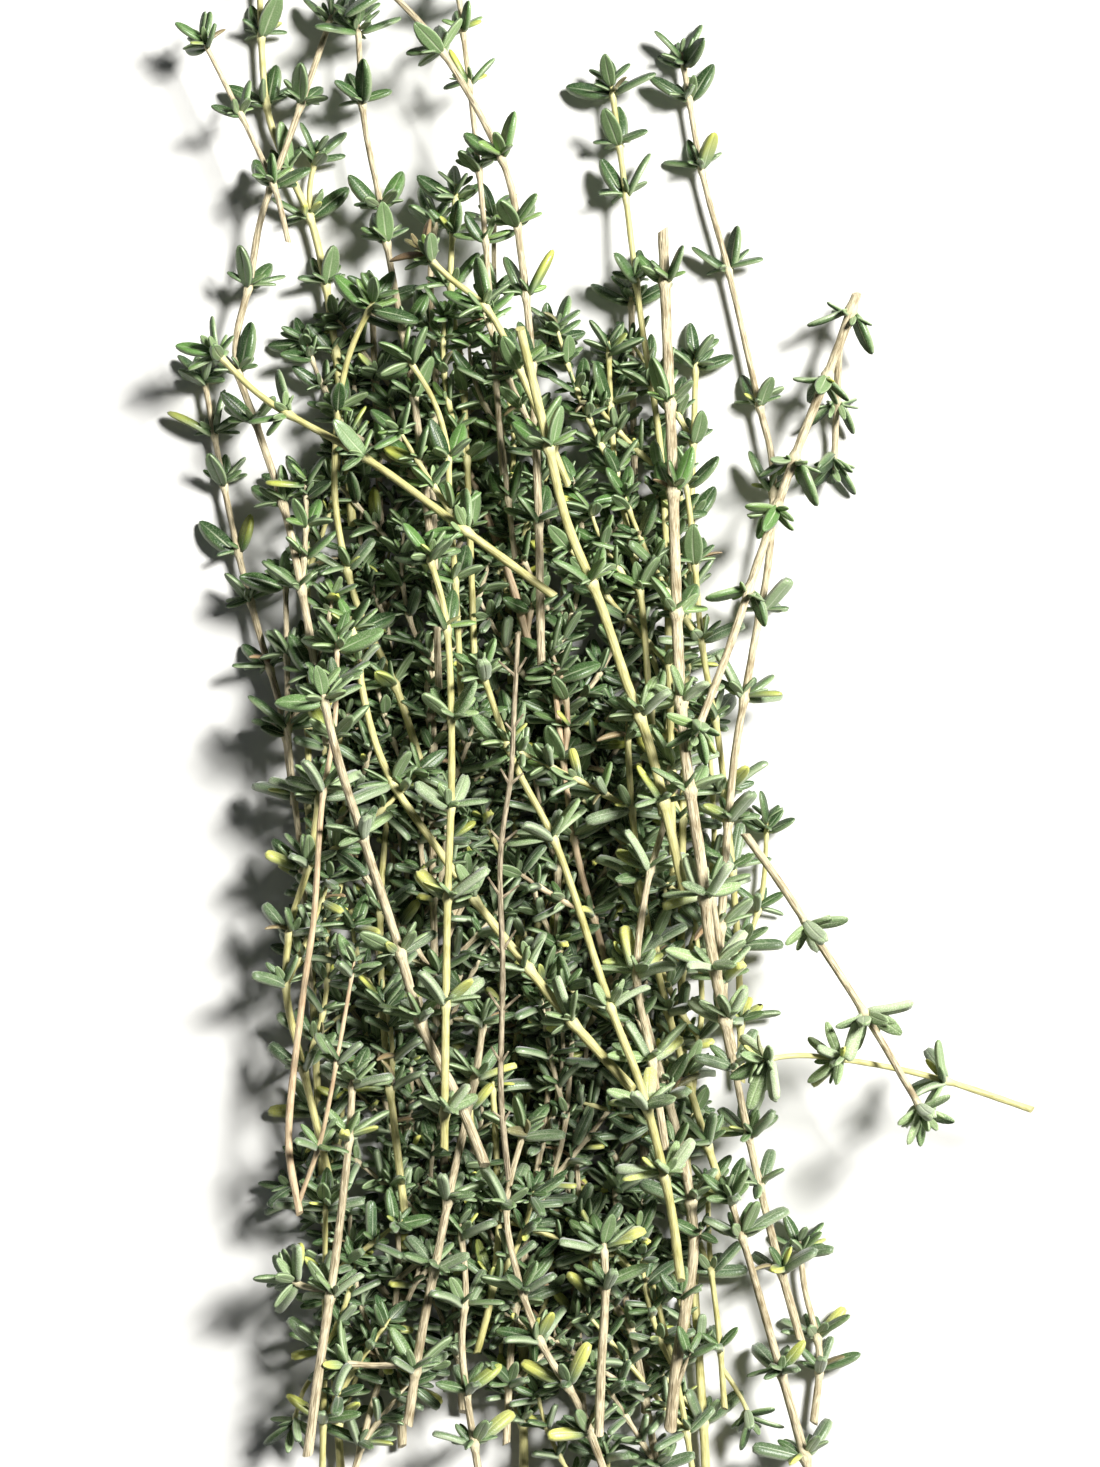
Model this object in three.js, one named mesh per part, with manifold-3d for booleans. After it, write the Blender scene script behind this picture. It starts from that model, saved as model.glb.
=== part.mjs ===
// A bundle of cut thyme that lies on a flat surface: sprigs laid roughly side by side, untied.
// Millimetres. +X runs across the bundle, +Y along it towards most of the growing tips, +Z up.
// The origin is the middle of the bundle's footprint, on the surface that it lies on.
// Each sprig is one piece: a four-sided stem with its leaf pairs grown on it, each pair a quarter
// turn round from the last and with a smaller pair between. Sprigs are laid down one after the
// other, each on those below it.
import * as THREE from "three";
import { mergeVertices } from "three/addons/utils/BufferGeometryUtils.js";
import Module from "manifold-3d";

const wasm = await Module();
wasm.setup();

// ---- Driving dimensions ----
const CHART_MIDDLE = { x: 8.98, y: -6.43 }; // middle of the footprint on the chart of the routes
const STEP = 3; // distance between the points of a stem's line
const SPAN_POINTS = 16; // points worked out on each span of a route before it is divided evenly
const REST_HEIGHT = 2.6; // a stem's axis above the surface, held off it by its lower leaves
const REACH = 6; // sideways distance at which one stem still rests on another
const LIFT = 5; // height between two stems' axes where one lies straight across the other
const BEAM_PASSES = 220; // how far a stem bridges the gaps between what it rests on
const SAG = 0.02; // how much a stem sinks between supports, per point
const SMOOTH_PASSES = 4;
const WHORL_SPACING = 13; // between leaf pairs where no places are given
const FIRST_WHORL = 10; // bare stem at the cut end
const TIP_SETBACK = 3; // last leaf pair from the growing tip
const BEND_LIMIT = 0.45; // how far a straight run of the stem may leave its line
const LEAF_BASE = 1.8; // along the stem
const LEAF_LENGTH = 6.8;
const LEAF_HALF_WIDTH = 1.25;
const LEAF_HALF_THICKNESS = 0.3;
const LEAF_CLEARANCE = 0.45; // left between a leaf and any other sprig
const CORNER_LEAF = 0.66; // size of the smaller leaves that grow between each pair
const CORNER_LEAST_LEAN = 0.6; // radians from the stem, so that they keep clear of the pair
const GOLDEN_TURN = 2.39996; // radians, spreads the sprigs' turns about their own axes

// Stem finishes: colour, and how rough.
const FINISHES = {
  green: { color: 0xb8b76a, roughness: 0.6 },
  tan: { color: 0xb09a72, roughness: 0.75 },
  russet: { color: 0xb88a6c, roughness: 0.7 },
  dry: { color: 0x8a6f55, roughness: 0.9 },
};

// ---- The sprigs, in the order in which they are laid, lowest first ----
// sprig(name, finish, width at the cut end, width at the other end, route from the cut end).
// A route is drawn on a flat chart: across, along. trimmed: the top is cut off too. bare: no leaves.
// fork: a side branch, as [across, along] points that start on the main stem. whorls: where the leaf
// pairs grow; a sprig with none given has them evenly spaced. Unless it is trimmed, it has one at its tip.
const sprig = (name, finish, base, end, route, more = {}) => ({ name, finish, base, end, route, ...more });

const UNDER_SPRIGS = 7;
const under = Array.from({ length: UNDER_SPRIGS }, (_, k) => {
  const foot = [-36 + 10.5 * k, -129 + 6 * (k % 3)];
  const waist = [-39 + 10.6 * k + (k % 2 ? 2 : -2), -42];
  const top = [-42 + 11.2 * k, 44 + 11 * ((k * 3) % 4)];
  const fork = [waist, [waist[0] + 5.5, -22], [waist[0] + 4.5, 4 + 8 * (k % 2)]];
  const finish = k % 3 ? "tan" : "green";
  return sprig(`under_sprig_${k + 1}`, finish, 1.5, 1.0, [foot, waist, top], { fork });
});

const SPRIGS = [
  ...under,
  sprig("left_edge_sprig", "tan", 1.2, 0.9, [
    [-44, -12], [-46, 3], [-50, 17], [-53.5, 30], [-56.5, 44], [-60, 63],
  ], {
    whorls: [[-46, 0], [-48.5, 12], [-52, 22], [-53.5, 31], [-56, 42], [-58.5, 52]],
  }),
  sprig("left_inner_sprig", "tan", 1.1, 0.9, [
    [-41, -45], [-42.5, -22], [-44.5, -3], [-45, 12], [-45.3, 28],
  ]),
  sprig("left_low_sprig", "green", 1.3, 1.0, [
    [-38, -75], [-42, -58], [-45, -44], [-44, -32], [-41, -22], [-39, -8],
  ], {
    whorls: [[-42, -57], [-44.8, -43], [-44, -33], [-41, -22]],
  }),
  sprig("forked_russet_sprig", "russet", 1.4, 1.0, [[-3.5, 15], [-7, 27], [-11.5, 39], [-16, 50]], {
    fork: [[-4, 17], [-2.8, 24]],
    whorls: [[-11, 38]],
  }),
  sprig("upright_tan_sprig", "tan", 1.2, 1.0, [
    [-19, 8], [-20, 42], [-19.6, 60], [-20.5, 78], [-19.5, 90],
  ], {
    whorls: [[-19.4, 25], [-20, 40], [-19.8, 55], [-20, 70]],
  }),
  sprig("upright_green_sprig", "green", 1.1, 0.9, [
    [-13, 14], [-14, 42], [-15, 62], [-17, 76], [-16, 94],
  ], {
    whorls: [[-13.7, 35], [-14.3, 48], [-15, 58], [-16.5, 76], [-16.7, 86]],
  }),
  sprig("mid_cluster_sprig", "tan", 1.0, 0.8, [[-6, 30], [-9, 58], [-9.5, 72], [-9.6, 90]]),
  sprig("top_thin_sprig", "tan", 1.0, 0.8, [
    [-8, 44], [-11, 84], [-13, 104], [-14.4, 116], [-16, 129],
  ], {
    whorls: [[-9, 60], [-10, 72], [-11, 85], [-12.5, 97], [-13.6, 112], [-14.6, 120]],
  }),
  sprig("leaf_top_foot", "green", 1.2, 0.9, [[14, -146], [11, -134], [9.3, -122]]),
  sprig("short_green_foot", "green", 1.0, 0.8, [[30, -116], [29, -103], [27.5, -90], [27, -76]], {
    fork: [[29.5, -109], [32.5, -113.5], [35, -119]],
  }),
  sprig("low_middle_sprig", "tan", 1.4, 1.0, [[20, -136], [16, -112], [12.5, -94], [11, -76]], {
    fork: [[14, -103], [6.5, -88], [4, -68]],
  }),
  sprig("thin_green_foot", "green", 1.0, 0.8, [[25, -130], [22, -112], [17, -92], [15, -84]], {
    fork: [[18.4, -97.5], [12.5, -90], [5, -82]],
  }),
  sprig("slanting_left_foot", "tan", 1.2, 0.9, [
    [-35, -132], [-31, -117], [-27.5, -104], [-26, -90], [-27, -76],
  ], {
    fork: [[-27.5, -104], [-22, -90], [-20, -70]],
  }),
  sprig("low_left_sprig", "green", 1.1, 0.8, [
    [-39, -128], [-38.6, -108], [-38.4, -90], [-38.2, -78],
  ], {
    fork: [[-38.6, -108], [-42, -112], [-44.5, -120]],
  }),
  sprig("bare_foot_sprig", "tan", 1.3, 1.0, [
    [-7.5, -122], [-6.5, -104], [-3, -80], [0, -58], [-1, -40],
  ], {
    fork: [[-4, -86], [2, -70], [4, -50]],
  }),
  sprig("right_thin_sprig", "green", 1.2, 0.9, [
    [21, -24], [20.4, 10], [19.2, 46], [15.5, 72], [12.6, 96], [10.4, 113],
  ], {
    whorls: [
      [20.5, -6], [20.4, 12], [19.8, 30], [19, 45], [17.5, 60], [15, 77], [13, 92.5], [12, 102],
    ],
  }),
  sprig("right_short_sprig", "green", 1.2, 0.9, [
    [19, -14], [17, 5], [15.3, 25], [11.6, 43], [10.5, 55], [10, 68],
  ], {
    whorls: [[17, 5], [15.5, 23], [14, 31], [11.4, 45.5], [10.5, 56]],
  }),
  sprig("right_inner_sprig", "green", 1.2, 0.9, [
    [33, -60], [32.5, -40], [31, -20], [29, -2], [26, 15], [24.5, 32], [23, 45],
  ], {
    fork: [[32.5, -40], [36.5, -28], [37.5, -14]],
  }),
  sprig("low_yellow_sprig", "green", 1.3, 1.0, [
    [30, -80], [24.3, -62], [20, -47], [16.5, -32], [14, -14], [13, 2],
  ], {
    fork: [[24.3, -62], [26, -46], [24.5, -30]],
  }),
  sprig("pale_pink_sprig", "russet", 1.2, 0.9, [
    [13, -54], [8.7, -36], [4.5, -20], [2.2, -4], [0.4, 12],
  ]),
  sprig("right_long_sprig", "tan", 1.4, 0.9, [
    [28.5, -42], [31, -8], [34.3, 12], [37.6, 30], [38.3, 46], [36, 57], [31, 79], [26.2, 97],
    [22.6, 118],
  ], {
    whorls: [
      [29, -32], [30.5, -14], [32.5, 4.5], [36, 22], [38.3, 42], [36.2, 57], [31, 79], [26, 97],
      [24, 108],
    ],
  }),
  sprig("top_middle_sprig", "tan", 1.4, 1.0, [
    [-1.5, 12], [-2, 38], [-3, 62], [-5, 82], [-8, 97], [-19, 117], [-30, 129],
  ], {
    whorls: [[-2, 36], [-2.5, 50], [-3.2, 62], [-4.4, 74], [-5.6, 86], [-8, 97], [-18.5, 117]],
  }),
  sprig("top_left_sprig", "green", 1.4, 1.0, [
    [-34, 36], [-37, 66], [-40.5, 86], [-45, 97], [-49, 109], [-50.3, 132],
  ], {
    fork: [[-41, 87.5], [-41.5, 94], [-40, 101]],
    whorls: [[-35.5, 55], [-37, 66], [-39, 78], [-42, 90], [-45, 97], [-48.6, 109], [-50, 121]],
  }),
  sprig("bowed_left_sprig", "tan", 1.4, 1.0, [
    [-38, -2], [-41.5, 20], [-45, 37], [-50, 52], [-54, 65], [-51.5, 78], [-49.5, 89],
    [-44.5, 103], [-37, 125],
  ], {
    whorls: [
      [-39.5, 10], [-42, 24], [-45.5, 40], [-50, 52], [-53.5, 63], [-51.5, 77], [-48, 94],
      [-43, 107],
    ],
  }),
  sprig("upper_tan_sprig", "tan", 1.3, 0.9, [
    [-20, 30], [-23, 56], [-25.5, 70], [-27.8, 83], [-29.5, 93], [-32, 106], [-33, 123],
  ], {
    whorls: [[-21.5, 45], [-23.2, 58], [-25.5, 70], [-27.8, 83], [-29, 91], [-32, 108]],
  }),
  sprig("leafy_curl_sprig", "green", 1.1, 0.9, [
    [-15, 5], [-16, 25], [-17, 40], [-17.5, 49], [-20, 57], [-25, 65],
  ], {
    whorls: [[-16, 25], [-17, 37], [-17.4, 46]],
  }),
  sprig("curling_tip_sprig", "green", 1.3, 0.9, [
    [3, 42], [-5, 61], [-10.5, 71.5], [-17, 77], [-22, 82],
  ], {
    whorls: [[-5, 61.5], [-10, 71]],
  }),
  sprig("olive_stem_sprig", "green", 1.4, 1.0, [
    [-24.8, -82], [-26.5, -68], [-28.2, -54], [-29, -40], [-29, -27], [-27.6, -10],
  ], {
    whorls: [[-28, -60], [-29, -45], [-29, -30]],
  }),
  sprig("short_olive_sprig", "green", 1.2, 1.0, [
    [-12.5, -106], [-10, -96], [-8.8, -85], [-9.2, -72], [-10, -58],
  ], {
    whorls: [[-10, -95], [-9, -80]],
  }),
  sprig("low_zigzag_sprig", "tan", 1.4, 1.0, [
    [10, -128], [5, -115], [-1.5, -104], [-5.6, -92], [-7.4, -80], [-4, -66],
  ], {
    whorls: [[7, -120], [3.4, -112.5], [-1, -105], [-4.8, -95], [-7, -82]],
  }),
  sprig("right_foot_sprig", "tan", 1.3, 0.9, [[45.5, -119], [46.5, -107], [44, -96], [43, -87]], {
    whorls: [[46.5, -110], [45.8, -103]],
  }),
  sprig("right_edge_stem", "tan", 1.5, 1.0, [
    [43, -104], [38, -86], [33.3, -66], [30.2, -50], [29, -38], [27, -24],
  ], {
    whorls: [[40, -93], [36.5, -79], [34, -69], [31.5, -57], [29.3, -42]],
  }),
  sprig("torn_bark_stem", "tan", 2.0, 1.2, [
    [20.5, -118.5], [21.8, -106], [24.4, -89], [23.4, -76], [20, -62], [16.5, -50], [13.5, -36],
  ], {
    whorls: [[23.8, -80], [20, -62], [15, -43]],
  }),
  sprig("middle_node_sprig", "tan", 1.4, 1.0, [
    [19.5, -70], [17, -54], [14.6, -41], [16.3, -26], [19.5, -14], [20.5, -3],
  ], {
    whorls: [[17, -54], [14.7, -42], [17, -23]],
  }),
  sprig("tall_green_sprig", "green", 1.3, 0.9, [
    [-20, -12], [-26, 7], [-33, 22], [-36.6, 38], [-36.5, 52], [-34.5, 64], [-29.5, 75],
  ], {
    whorls: [[-27, 9], [-34.5, 29], [-36.4, 55], [-32, 70]],
  }),
  sprig("swaying_green_sprig", "green", 1.7, 1.1, [
    [14, -60], [3, -48], [-3.5, -40], [-13, -28], [-19.5, -19], [-27, -8], [-31, 3], [-34, 20],
  ], {
    whorls: [[5, -49.5], [-4, -39.5], [-12, -29], [-26, -9], [-32.5, 10]],
  }),
  sprig("long_slant_sprig", "green", 1.5, 1.0, [
    [22, -92], [20, -78], [15.5, -60], [10, -45.5], [1.5, -20], [-6, -5], [-12, 12],
  ], {
    whorls: [[19, -73], [16.5, -62], [10, -45], [0.3, -17.5], [-7, -3]],
  }),
  sprig("pale_foot_sprig", "tan", 1.3, 1.0, [
    [-11.5, -130], [-14, -114], [-15, -104], [-14.4, -94], [-15.4, -83],
  ], {
    whorls: [[-13, -122], [-14.2, -113], [-14.6, -98]],
  }),
  sprig("left_middle_stem", "tan", 1.6, 1.1, [
    [-24.2, -117.5], [-22, -103], [-19, -88], [-16.4, -75], [-13, -60], [-11, -47],
  ], {
    fork: [[-22.7, -107.2], [-29, -107.6], [-37, -107]],
    whorls: [[-23, -109], [-19.7, -91], [-17, -78], [-13, -60]],
  }),
  sprig("stout_foot_sprig", "tan", 1.6, 1.2, [[8.3, -119], [8.7, -108], [9.4, -95], [9, -85]], {
    whorls: [[9.2, -95]],
  }),
  sprig("left_foot_stem", "tan", 1.7, 1.1, [
    [-41, -122], [-39, -107], [-36.5, -90], [-34.2, -70], [-33.4, -57],
  ], {
    fork: [[-37, -94], [-41, -94], [-45.5, -92]],
    whorls: [[-37.3, -95], [-34.3, -70]],
  }),
  sprig("right_corner_stem", "tan", 1.7, 1.0, [
    [47, -136], [42, -118], [38, -104], [34, -90], [30, -77],
  ], {
    whorls: [[44, -124], [39.6, -110], [33, -86]],
  }),
  sprig("pink_forked_sprig", "russet", 1.3, 0.8, [
    [-42.5, -81.5], [-44.4, -68], [-42, -45], [-40, -31], [-38.6, -12], [-36.5, 1], [-36, 17],
  ], {
    fork: [[-42.6, -79.5], [-38.6, -68], [-35.8, -54], [-33, -38]],
    whorls: [
      [-38.6, -11], [-36.8, 0], [-36.1, 9],
    ],
  }),
  sprig("woody_slant_sprig", "tan", 1.7, 1.3, [
    [-11, -73], [-15.5, -62], [-21.5, -50], [-26, -35], [-30.5, -21], [-35.5, -5], [-38.6, 8],
  ], {
    whorls: [[-21.5, -50], [-25, -38], [-31, -19], [-37, 2]],
  }),
  sprig("bright_straight_sprig", "green", 1.4, 1.1, [
    [-17.8, -70], [-17.6, -50], [-17.3, -28], [-16.6, -5], [-17.4, 18], [-21, 32],
  ], {
    whorls: [[-17.7, -63], [-17.5, -46], [-17.3, -27.5], [-16.8, -13], [-16.7, 1], [-17.3, 17]],
  }),
  sprig("diagonal_green_sprig", "green", 1.4, 1.0, [
    [0.5, 23.3], [-14, 34], [-31, 46.5], [-48, 56.5], [-58, 66],
  ], {
    whorls: [[-15, 34.7], [-31, 46.5], [-43, 54]],
  }),
  sprig("trimmed_green_stem", "green", 1.7, 1.5, [
    [22.5, -26], [17, -3], [12.4, 10], [8.4, 22], [3, 35], [0, 47], [-2.6, 58], [-5, 68],
  ], {
    trimmed: true,
    whorls: [
      [19, -11], [14.5, 4], [7.5, 25], [0, 46.5],
    ],
  }),
  sprig("dry_twig", "dry", 1.0, 0.8, [
    [-7, -75], [-8.3, -60], [-8, -40], [-8.4, -21], [-6.6, -7], [-6, 5], [-5.4, 17],
  ], { bare: true }),
  sprig("trimmed_brown_stem", "tan", 1.9, 1.8, [
    [30.6, -54], [27, -36], [25.3, -22], [23, -6], [21.8, 10], [21.2, 30], [20.8, 46], [20.2, 62],
    [19.3, 86],
  ], {
    trimmed: true,
    whorls: [
      [29, -49], [27.6, -40], [26, -28], [23.4, -9], [22, 5], [21.5, 21], [21, 40], [20.5, 57],
      [19.6, 78],
    ],
  }),
  sprig("leaning_branch", "tan", 1.6, 1.2, [
    [52.7, 75.5], [49, 65], [42.5, 49], [36, 31], [30, 14], [24, -1],
  ], {
    fork: [[49.6, 67], [49.4, 57], [49, 45]],
    whorls: [
      [51.5, 72], [47, 60], [41.5, 47], [38, 38], [33, 23.5],
    ],
  }),
  sprig("stray_green_sprig", "green", 1.2, 0.8, [
    [82, -64], [65, -58.3], [50, -55], [41, -54], [34, -55],
  ], {
    whorls: [[66, -58.6], [50, -55]],
  }),
  sprig("stray_tan_sprig", "tan", 1.3, 1.1, [
    [33, -17], [38, -24], [43, -31.5], [53.5, -48], [63.5, -65],
  ], {
    whorls: [[43, -31.5], [53.5, -48]],
  }),
  sprig("loose_top_sprig", "tan", 1.0, 0.8, [
    [-44.7, 84], [-47, 93], [-51, 102], [-54.5, 109], [-60, 120],
  ]),
];

// ---- Routes ----
// A smooth line through a route's points, divided evenly, on the part's own frame.
function flatLine(route) {
  const points = route.map(([x, y]) => new THREE.Vector3(x - CHART_MIDDLE.x, y - CHART_MIDDLE.y, 0));
  const curve = new THREE.CatmullRomCurve3(points, false, "catmullrom", 0.5);
  const fine = curve.getPoints(SPAN_POINTS * (route.length - 1));
  const along = [0];
  for (let i = 1; i < fine.length; i++) along.push(along[i - 1] + fine[i].distanceTo(fine[i - 1]));
  const length = along.at(-1);
  const count = Math.max(3, Math.round(length / STEP));
  const line = [];
  for (let i = 0, k = 0; i <= count; i++) {
    const want = (length * i) / count;
    while (k < fine.length - 2 && along[k + 1] < want) k++;
    const share = (want - along[k]) / (along[k + 1] - along[k]);
    line.push(fine[k].clone().lerp(fine[k + 1], share));
  }
  return line;
}

// Lays a stem on what is below it: it rests on the highest stems, bridges the gaps and sags a little.
function layDown(line, pile) {
  const need = line.map((p) => {
    let height = REST_HEIGHT;
    for (const q of pile) {
      const away = Math.hypot(p.x - q.x, p.y - q.y) / REACH;
      if (away < 1) height = Math.max(height, q.z + LIFT * Math.sqrt(1 - away * away));
    }
    return height;
  });
  const last = line.length - 1;
  const middle = (z, i) => (z[Math.max(i - 1, 0)] + z[Math.min(i + 1, last)]) / 2;
  let z = need.slice();
  for (let pass = 0; pass < BEAM_PASSES; pass++) {
    z = z.map((_, i) => Math.max(need[i], middle(z, i) - SAG));
  }
  for (let pass = 0; pass < SMOOTH_PASSES; pass++) {
    z = z.map((height, i) => (height + middle(z, i)) / 2);
  }
  line.forEach((p, i) => (p.z = z[i]));
  return line;
}

// A point and the stem's direction there, at a distance from the cut end.
function placeOn(line, distance) {
  let left = distance;
  let i = 0;
  while (i < line.length - 2 && left > line[i].distanceTo(line[i + 1])) {
    left -= line[i].distanceTo(line[i + 1]);
    i++;
  }
  const run = line[i + 1].clone().sub(line[i]);
  const share = Math.min(left / run.length(), 1);
  return { at: line[i].clone().addScaledVector(run, share), ahead: run.normalize() };
}

const lengthOf = (line) => line.slice(1).reduce((sum, p, i) => sum + p.distanceTo(line[i]), 0);

// ---- A sprig's mesh ----
// Distances of the rings of a stem: its ends, its leaf pairs, and points where it bends.
function ringDistances(line, whorls) {
  const length = lengthOf(line);
  const fixed = [0, ...whorls.flatMap((s) => [s - LEAF_BASE / 2, s + LEAF_BASE / 2]), length];
  const rings = [];
  const fill = (a, b) => {
    const chord = new THREE.Line3(placeOn(line, a).at, placeOn(line, b).at);
    const middle = placeOn(line, (a + b) / 2).at;
    const off = chord.closestPointToPoint(middle, true, new THREE.Vector3()).distanceTo(middle);
    if (off < BEND_LIMIT || b - a < 2 * STEP) return;
    fill(a, (a + b) / 2);
    rings.push((a + b) / 2);
    fill((a + b) / 2, b);
  };
  fixed.forEach((s, i) => {
    if (i) fill(fixed[i - 1], s);
    rings.push(s);
  });
  return rings;
}

// The stem's four corner directions at a place: across and up, turned about its axis.
function cornersAt(ahead, turn) {
  const across = new THREE.Vector3(ahead.y, -ahead.x, 0).normalize();
  const up = across.clone().cross(ahead);
  return [0, 1, 2, 3].map((k) => {
    const angle = turn + (k * Math.PI) / 2;
    return across.clone().multiplyScalar(Math.cos(angle)).addScaledVector(up, Math.sin(angle));
  });
}

// Two triangles for a four-cornered face, seen from outside anticlockwise.
const quad = (a, b, c, d) => [a, b, c, a, c, d];

// A leaf that grows from the stem's face with the corners root: its middle and its tip.
function leafShape(root, out, ahead, lean, size) {
  const along = ahead.clone().multiplyScalar(Math.cos(lean)).addScaledVector(out, Math.sin(lean));
  const upper = ahead.clone().multiplyScalar(Math.sin(lean)).addScaledVector(out, -Math.cos(lean));
  const side = out.clone().cross(ahead);
  const start = root[0].clone().add(root[2]).multiplyScalar(0.5);
  const middle = start.clone().addScaledVector(along, LEAF_LENGTH * size * 0.5);
  const tip = start.clone().addScaledVector(along, LEAF_LENGTH * size);
  const corner = (s, u) =>
    middle
      .clone()
      .addScaledVector(side, s * LEAF_HALF_WIDTH * size)
      .addScaledVector(upper, u * LEAF_HALF_THICKNESS);
  const ring = [corner(1, -1), corner(-1, -1), corner(-1, 1), corner(1, 1)];
  // A leaf that meets the surface lies flat on it.
  const lowest = Math.min(...ring.map((p) => p.z));
  ring.forEach((p) => {
    const floor = p.z > lowest + LEAF_HALF_THICKNESS ? 2 * LEAF_HALF_THICKNESS : 0;
    p.z = Math.max(p.z, floor);
  });
  tip.z = Math.max(tip.z, LEAF_HALF_THICKNESS);
  return { ring, tip, start, middle: ring[0].clone().add(ring[2]).multiplyScalar(0.5) };
}

// Balls that stand for a leaf when its room is tested.
function leafBalls({ start, middle, tip }) {
  const ball = (a, b, share, r) => ({ at: a.clone().lerp(b, share), r });
  return [
    ball(start, middle, 0.55, 0.9),
    ball(middle, tip, 0, LEAF_HALF_WIDTH),
    ball(middle, tip, 0.5, 0.8),
    ball(middle, tip, 1, 0.3),
  ];
}

const LEANS = [1.0, 0.7, 1.3, 0.45];
const SIZES = [1, 0.8, 0.6];

// The first way of growing this leaf that touches nothing of another sprig, or null. full: the
// size that it has where there is room, as a share of a main leaf's.
function roomyLeaf(root, out, ahead, others, full) {
  const leans = full < 1 ? LEANS.filter((lean) => lean > CORNER_LEAST_LEAN) : LEANS;
  for (const size of SIZES) {
    for (const lean of leans) {
      const leaf = leafShape(root, out, ahead, lean, size * full);
      const clear = leafBalls(leaf).every((b) =>
        others.every((o) => o.at.distanceTo(b.at) > o.r + b.r + LEAF_CLEARANCE));
      if (clear) return leaf;
    }
  }
  return null;
}

// One stem with its leaves as a closed mesh. Leaves keep out of the balls in others.
function stemMesh(line, widths, turn, whorls, others, tapers) {
  const rings = ringDistances(line, whorls);
  const length = lengthOf(line);
  const radius = (s) => {
    const r = THREE.MathUtils.lerp(widths[0], widths[1], s / length) / 2;
    return tapers && s > length - TIP_SETBACK ? r * 0.6 : r;
  };
  const vertices = [];
  const triangles = [];
  const balls = [];
  rings.forEach((s) => {
    const { at, ahead } = placeOn(line, s);
    cornersAt(ahead, turn).forEach((c) => vertices.push(at.clone().addScaledVector(c, radius(s))));
  });
  const pairOf = new Map(whorls.map((s, i) => [rings.indexOf(s - LEAF_BASE / 2), i]));
  for (let i = 0; i + 1 < rings.length; i++) {
    for (let k = 0; k < 4; k++) {
      const a = 4 * i + k;
      const b = 4 * i + ((k + 1) % 4);
      const face = [b, a, a + 4, b + 4];
      const pair = pairOf.get(i);
      const full = k % 2 === pair % 2 ? 1 : CORNER_LEAF;
      const leaf = pair !== undefined && grow(face, (rings[i] + rings[i + 1]) / 2, full);
      if (!leaf) triangles.push(...quad(...face));
    }
  }
  const end = 4 * (rings.length - 1);
  triangles.push(...quad(0, 1, 2, 3), ...quad(end + 3, end + 2, end + 1, end));

  function grow(face, s, full) {
    const root = face.map((v) => vertices[v]);
    const { ahead } = placeOn(line, s);
    const out = root[0].clone().add(root[1]).add(root[2]).add(root[3]).multiplyScalar(0.25);
    out.sub(placeOn(line, s).at).normalize();
    const leaf = roomyLeaf(root, out, ahead, others, full);
    if (!leaf) return null;
    const first = vertices.length;
    vertices.push(...leaf.ring, leaf.tip);
    for (let j = 0; j < 4; j++) {
      const next = (j + 1) % 4;
      triangles.push(...quad(face[j], face[next], first + next, first + j));
      triangles.push(first + j, first + next, first + 4);
    }
    balls.push(...leafBalls(leaf));
    return leaf;
  }

  const geometry = new THREE.BufferGeometry().setFromPoints(vertices);
  geometry.setIndex(triangles);
  return { geometry, balls };
}

// How far along a stem's line a place on the chart is.
function distanceNear(line, [x, y]) {
  const place = new THREE.Vector3(x - CHART_MIDDLE.x, y - CHART_MIDDLE.y, 0);
  const away = line.map((p) => Math.hypot(p.x - place.x, p.y - place.y));
  const nearest = away.indexOf(Math.min(...away));
  return lengthOf(line.slice(0, nearest + 1));
}

// Distances of the leaf pairs along a stem, from its cut end.
function whorlDistances(line, { bare, trimmed, whorls }) {
  if (bare) return [];
  const last = lengthOf(line) - TIP_SETBACK;
  const count = Math.max(1, Math.round((last - FIRST_WHORL) / WHORL_SPACING));
  const even = Array.from({ length: count }, (_, i) => FIRST_WHORL + (i * (last - FIRST_WHORL)) / count);
  const places = whorls ? whorls.map((place) => distanceNear(line, place)) : even;
  const inner = places.filter((s) => s > LEAF_BASE && s < last - LEAF_BASE * 2);
  return trimmed ? inner : [...inner, last];
}

// ---- Joining a side branch to its main stem ----
function solidOf(geometry) {
  const merged = mergeVertices(geometry);
  return new wasm.Manifold(
    new wasm.Mesh({
      numProp: 3,
      vertProperties: merged.attributes.position.array,
      triVerts: new Uint32Array(merged.index.array),
    }),
  );
}

function joined(first, second) {
  const mesh = solidOf(first).add(solidOf(second)).getMesh();
  const geometry = new THREE.BufferGeometry();
  geometry.setAttribute("position", new THREE.BufferAttribute(mesh.vertProperties, 3));
  geometry.setIndex(new THREE.BufferAttribute(mesh.triVerts, 1));
  return geometry;
}

// ---- The bundle ----
const stemBalls = (line, width) => line.flatMap((p, i) => {
  const points = i ? [p, p.clone().lerp(line[i - 1], 0.5)] : [p];
  return points.map((at) => ({ at, r: width / 2 }));
});

// A branch starts at the height of the main stem and is laid like a stem after that.
function layBranch(fork, main, pile) {
  const line = layDown(flatLine(fork), pile);
  const root = main.reduce((a, b) => (a.distanceTo(line[0]) < b.distanceTo(line[0]) ? a : b));
  line.forEach((p, i) => {
    const share = Math.min(i / 5, 1);
    p.z = THREE.MathUtils.lerp(root.z, p.z, share);
  });
  return line;
}

const pile = [];
const stems = SPRIGS.map((spec, index) => {
  const main = layDown(flatLine(spec.route), pile);
  const branch = spec.fork ? layBranch(spec.fork, main, pile) : null;
  const lines = branch ? [main, branch] : [main];
  pile.push(...lines.flat());
  const own = lines.flatMap((line) => stemBalls(line, spec.base));
  return { spec, main, branch, turn: index * GOLDEN_TURN, own };
});

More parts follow.
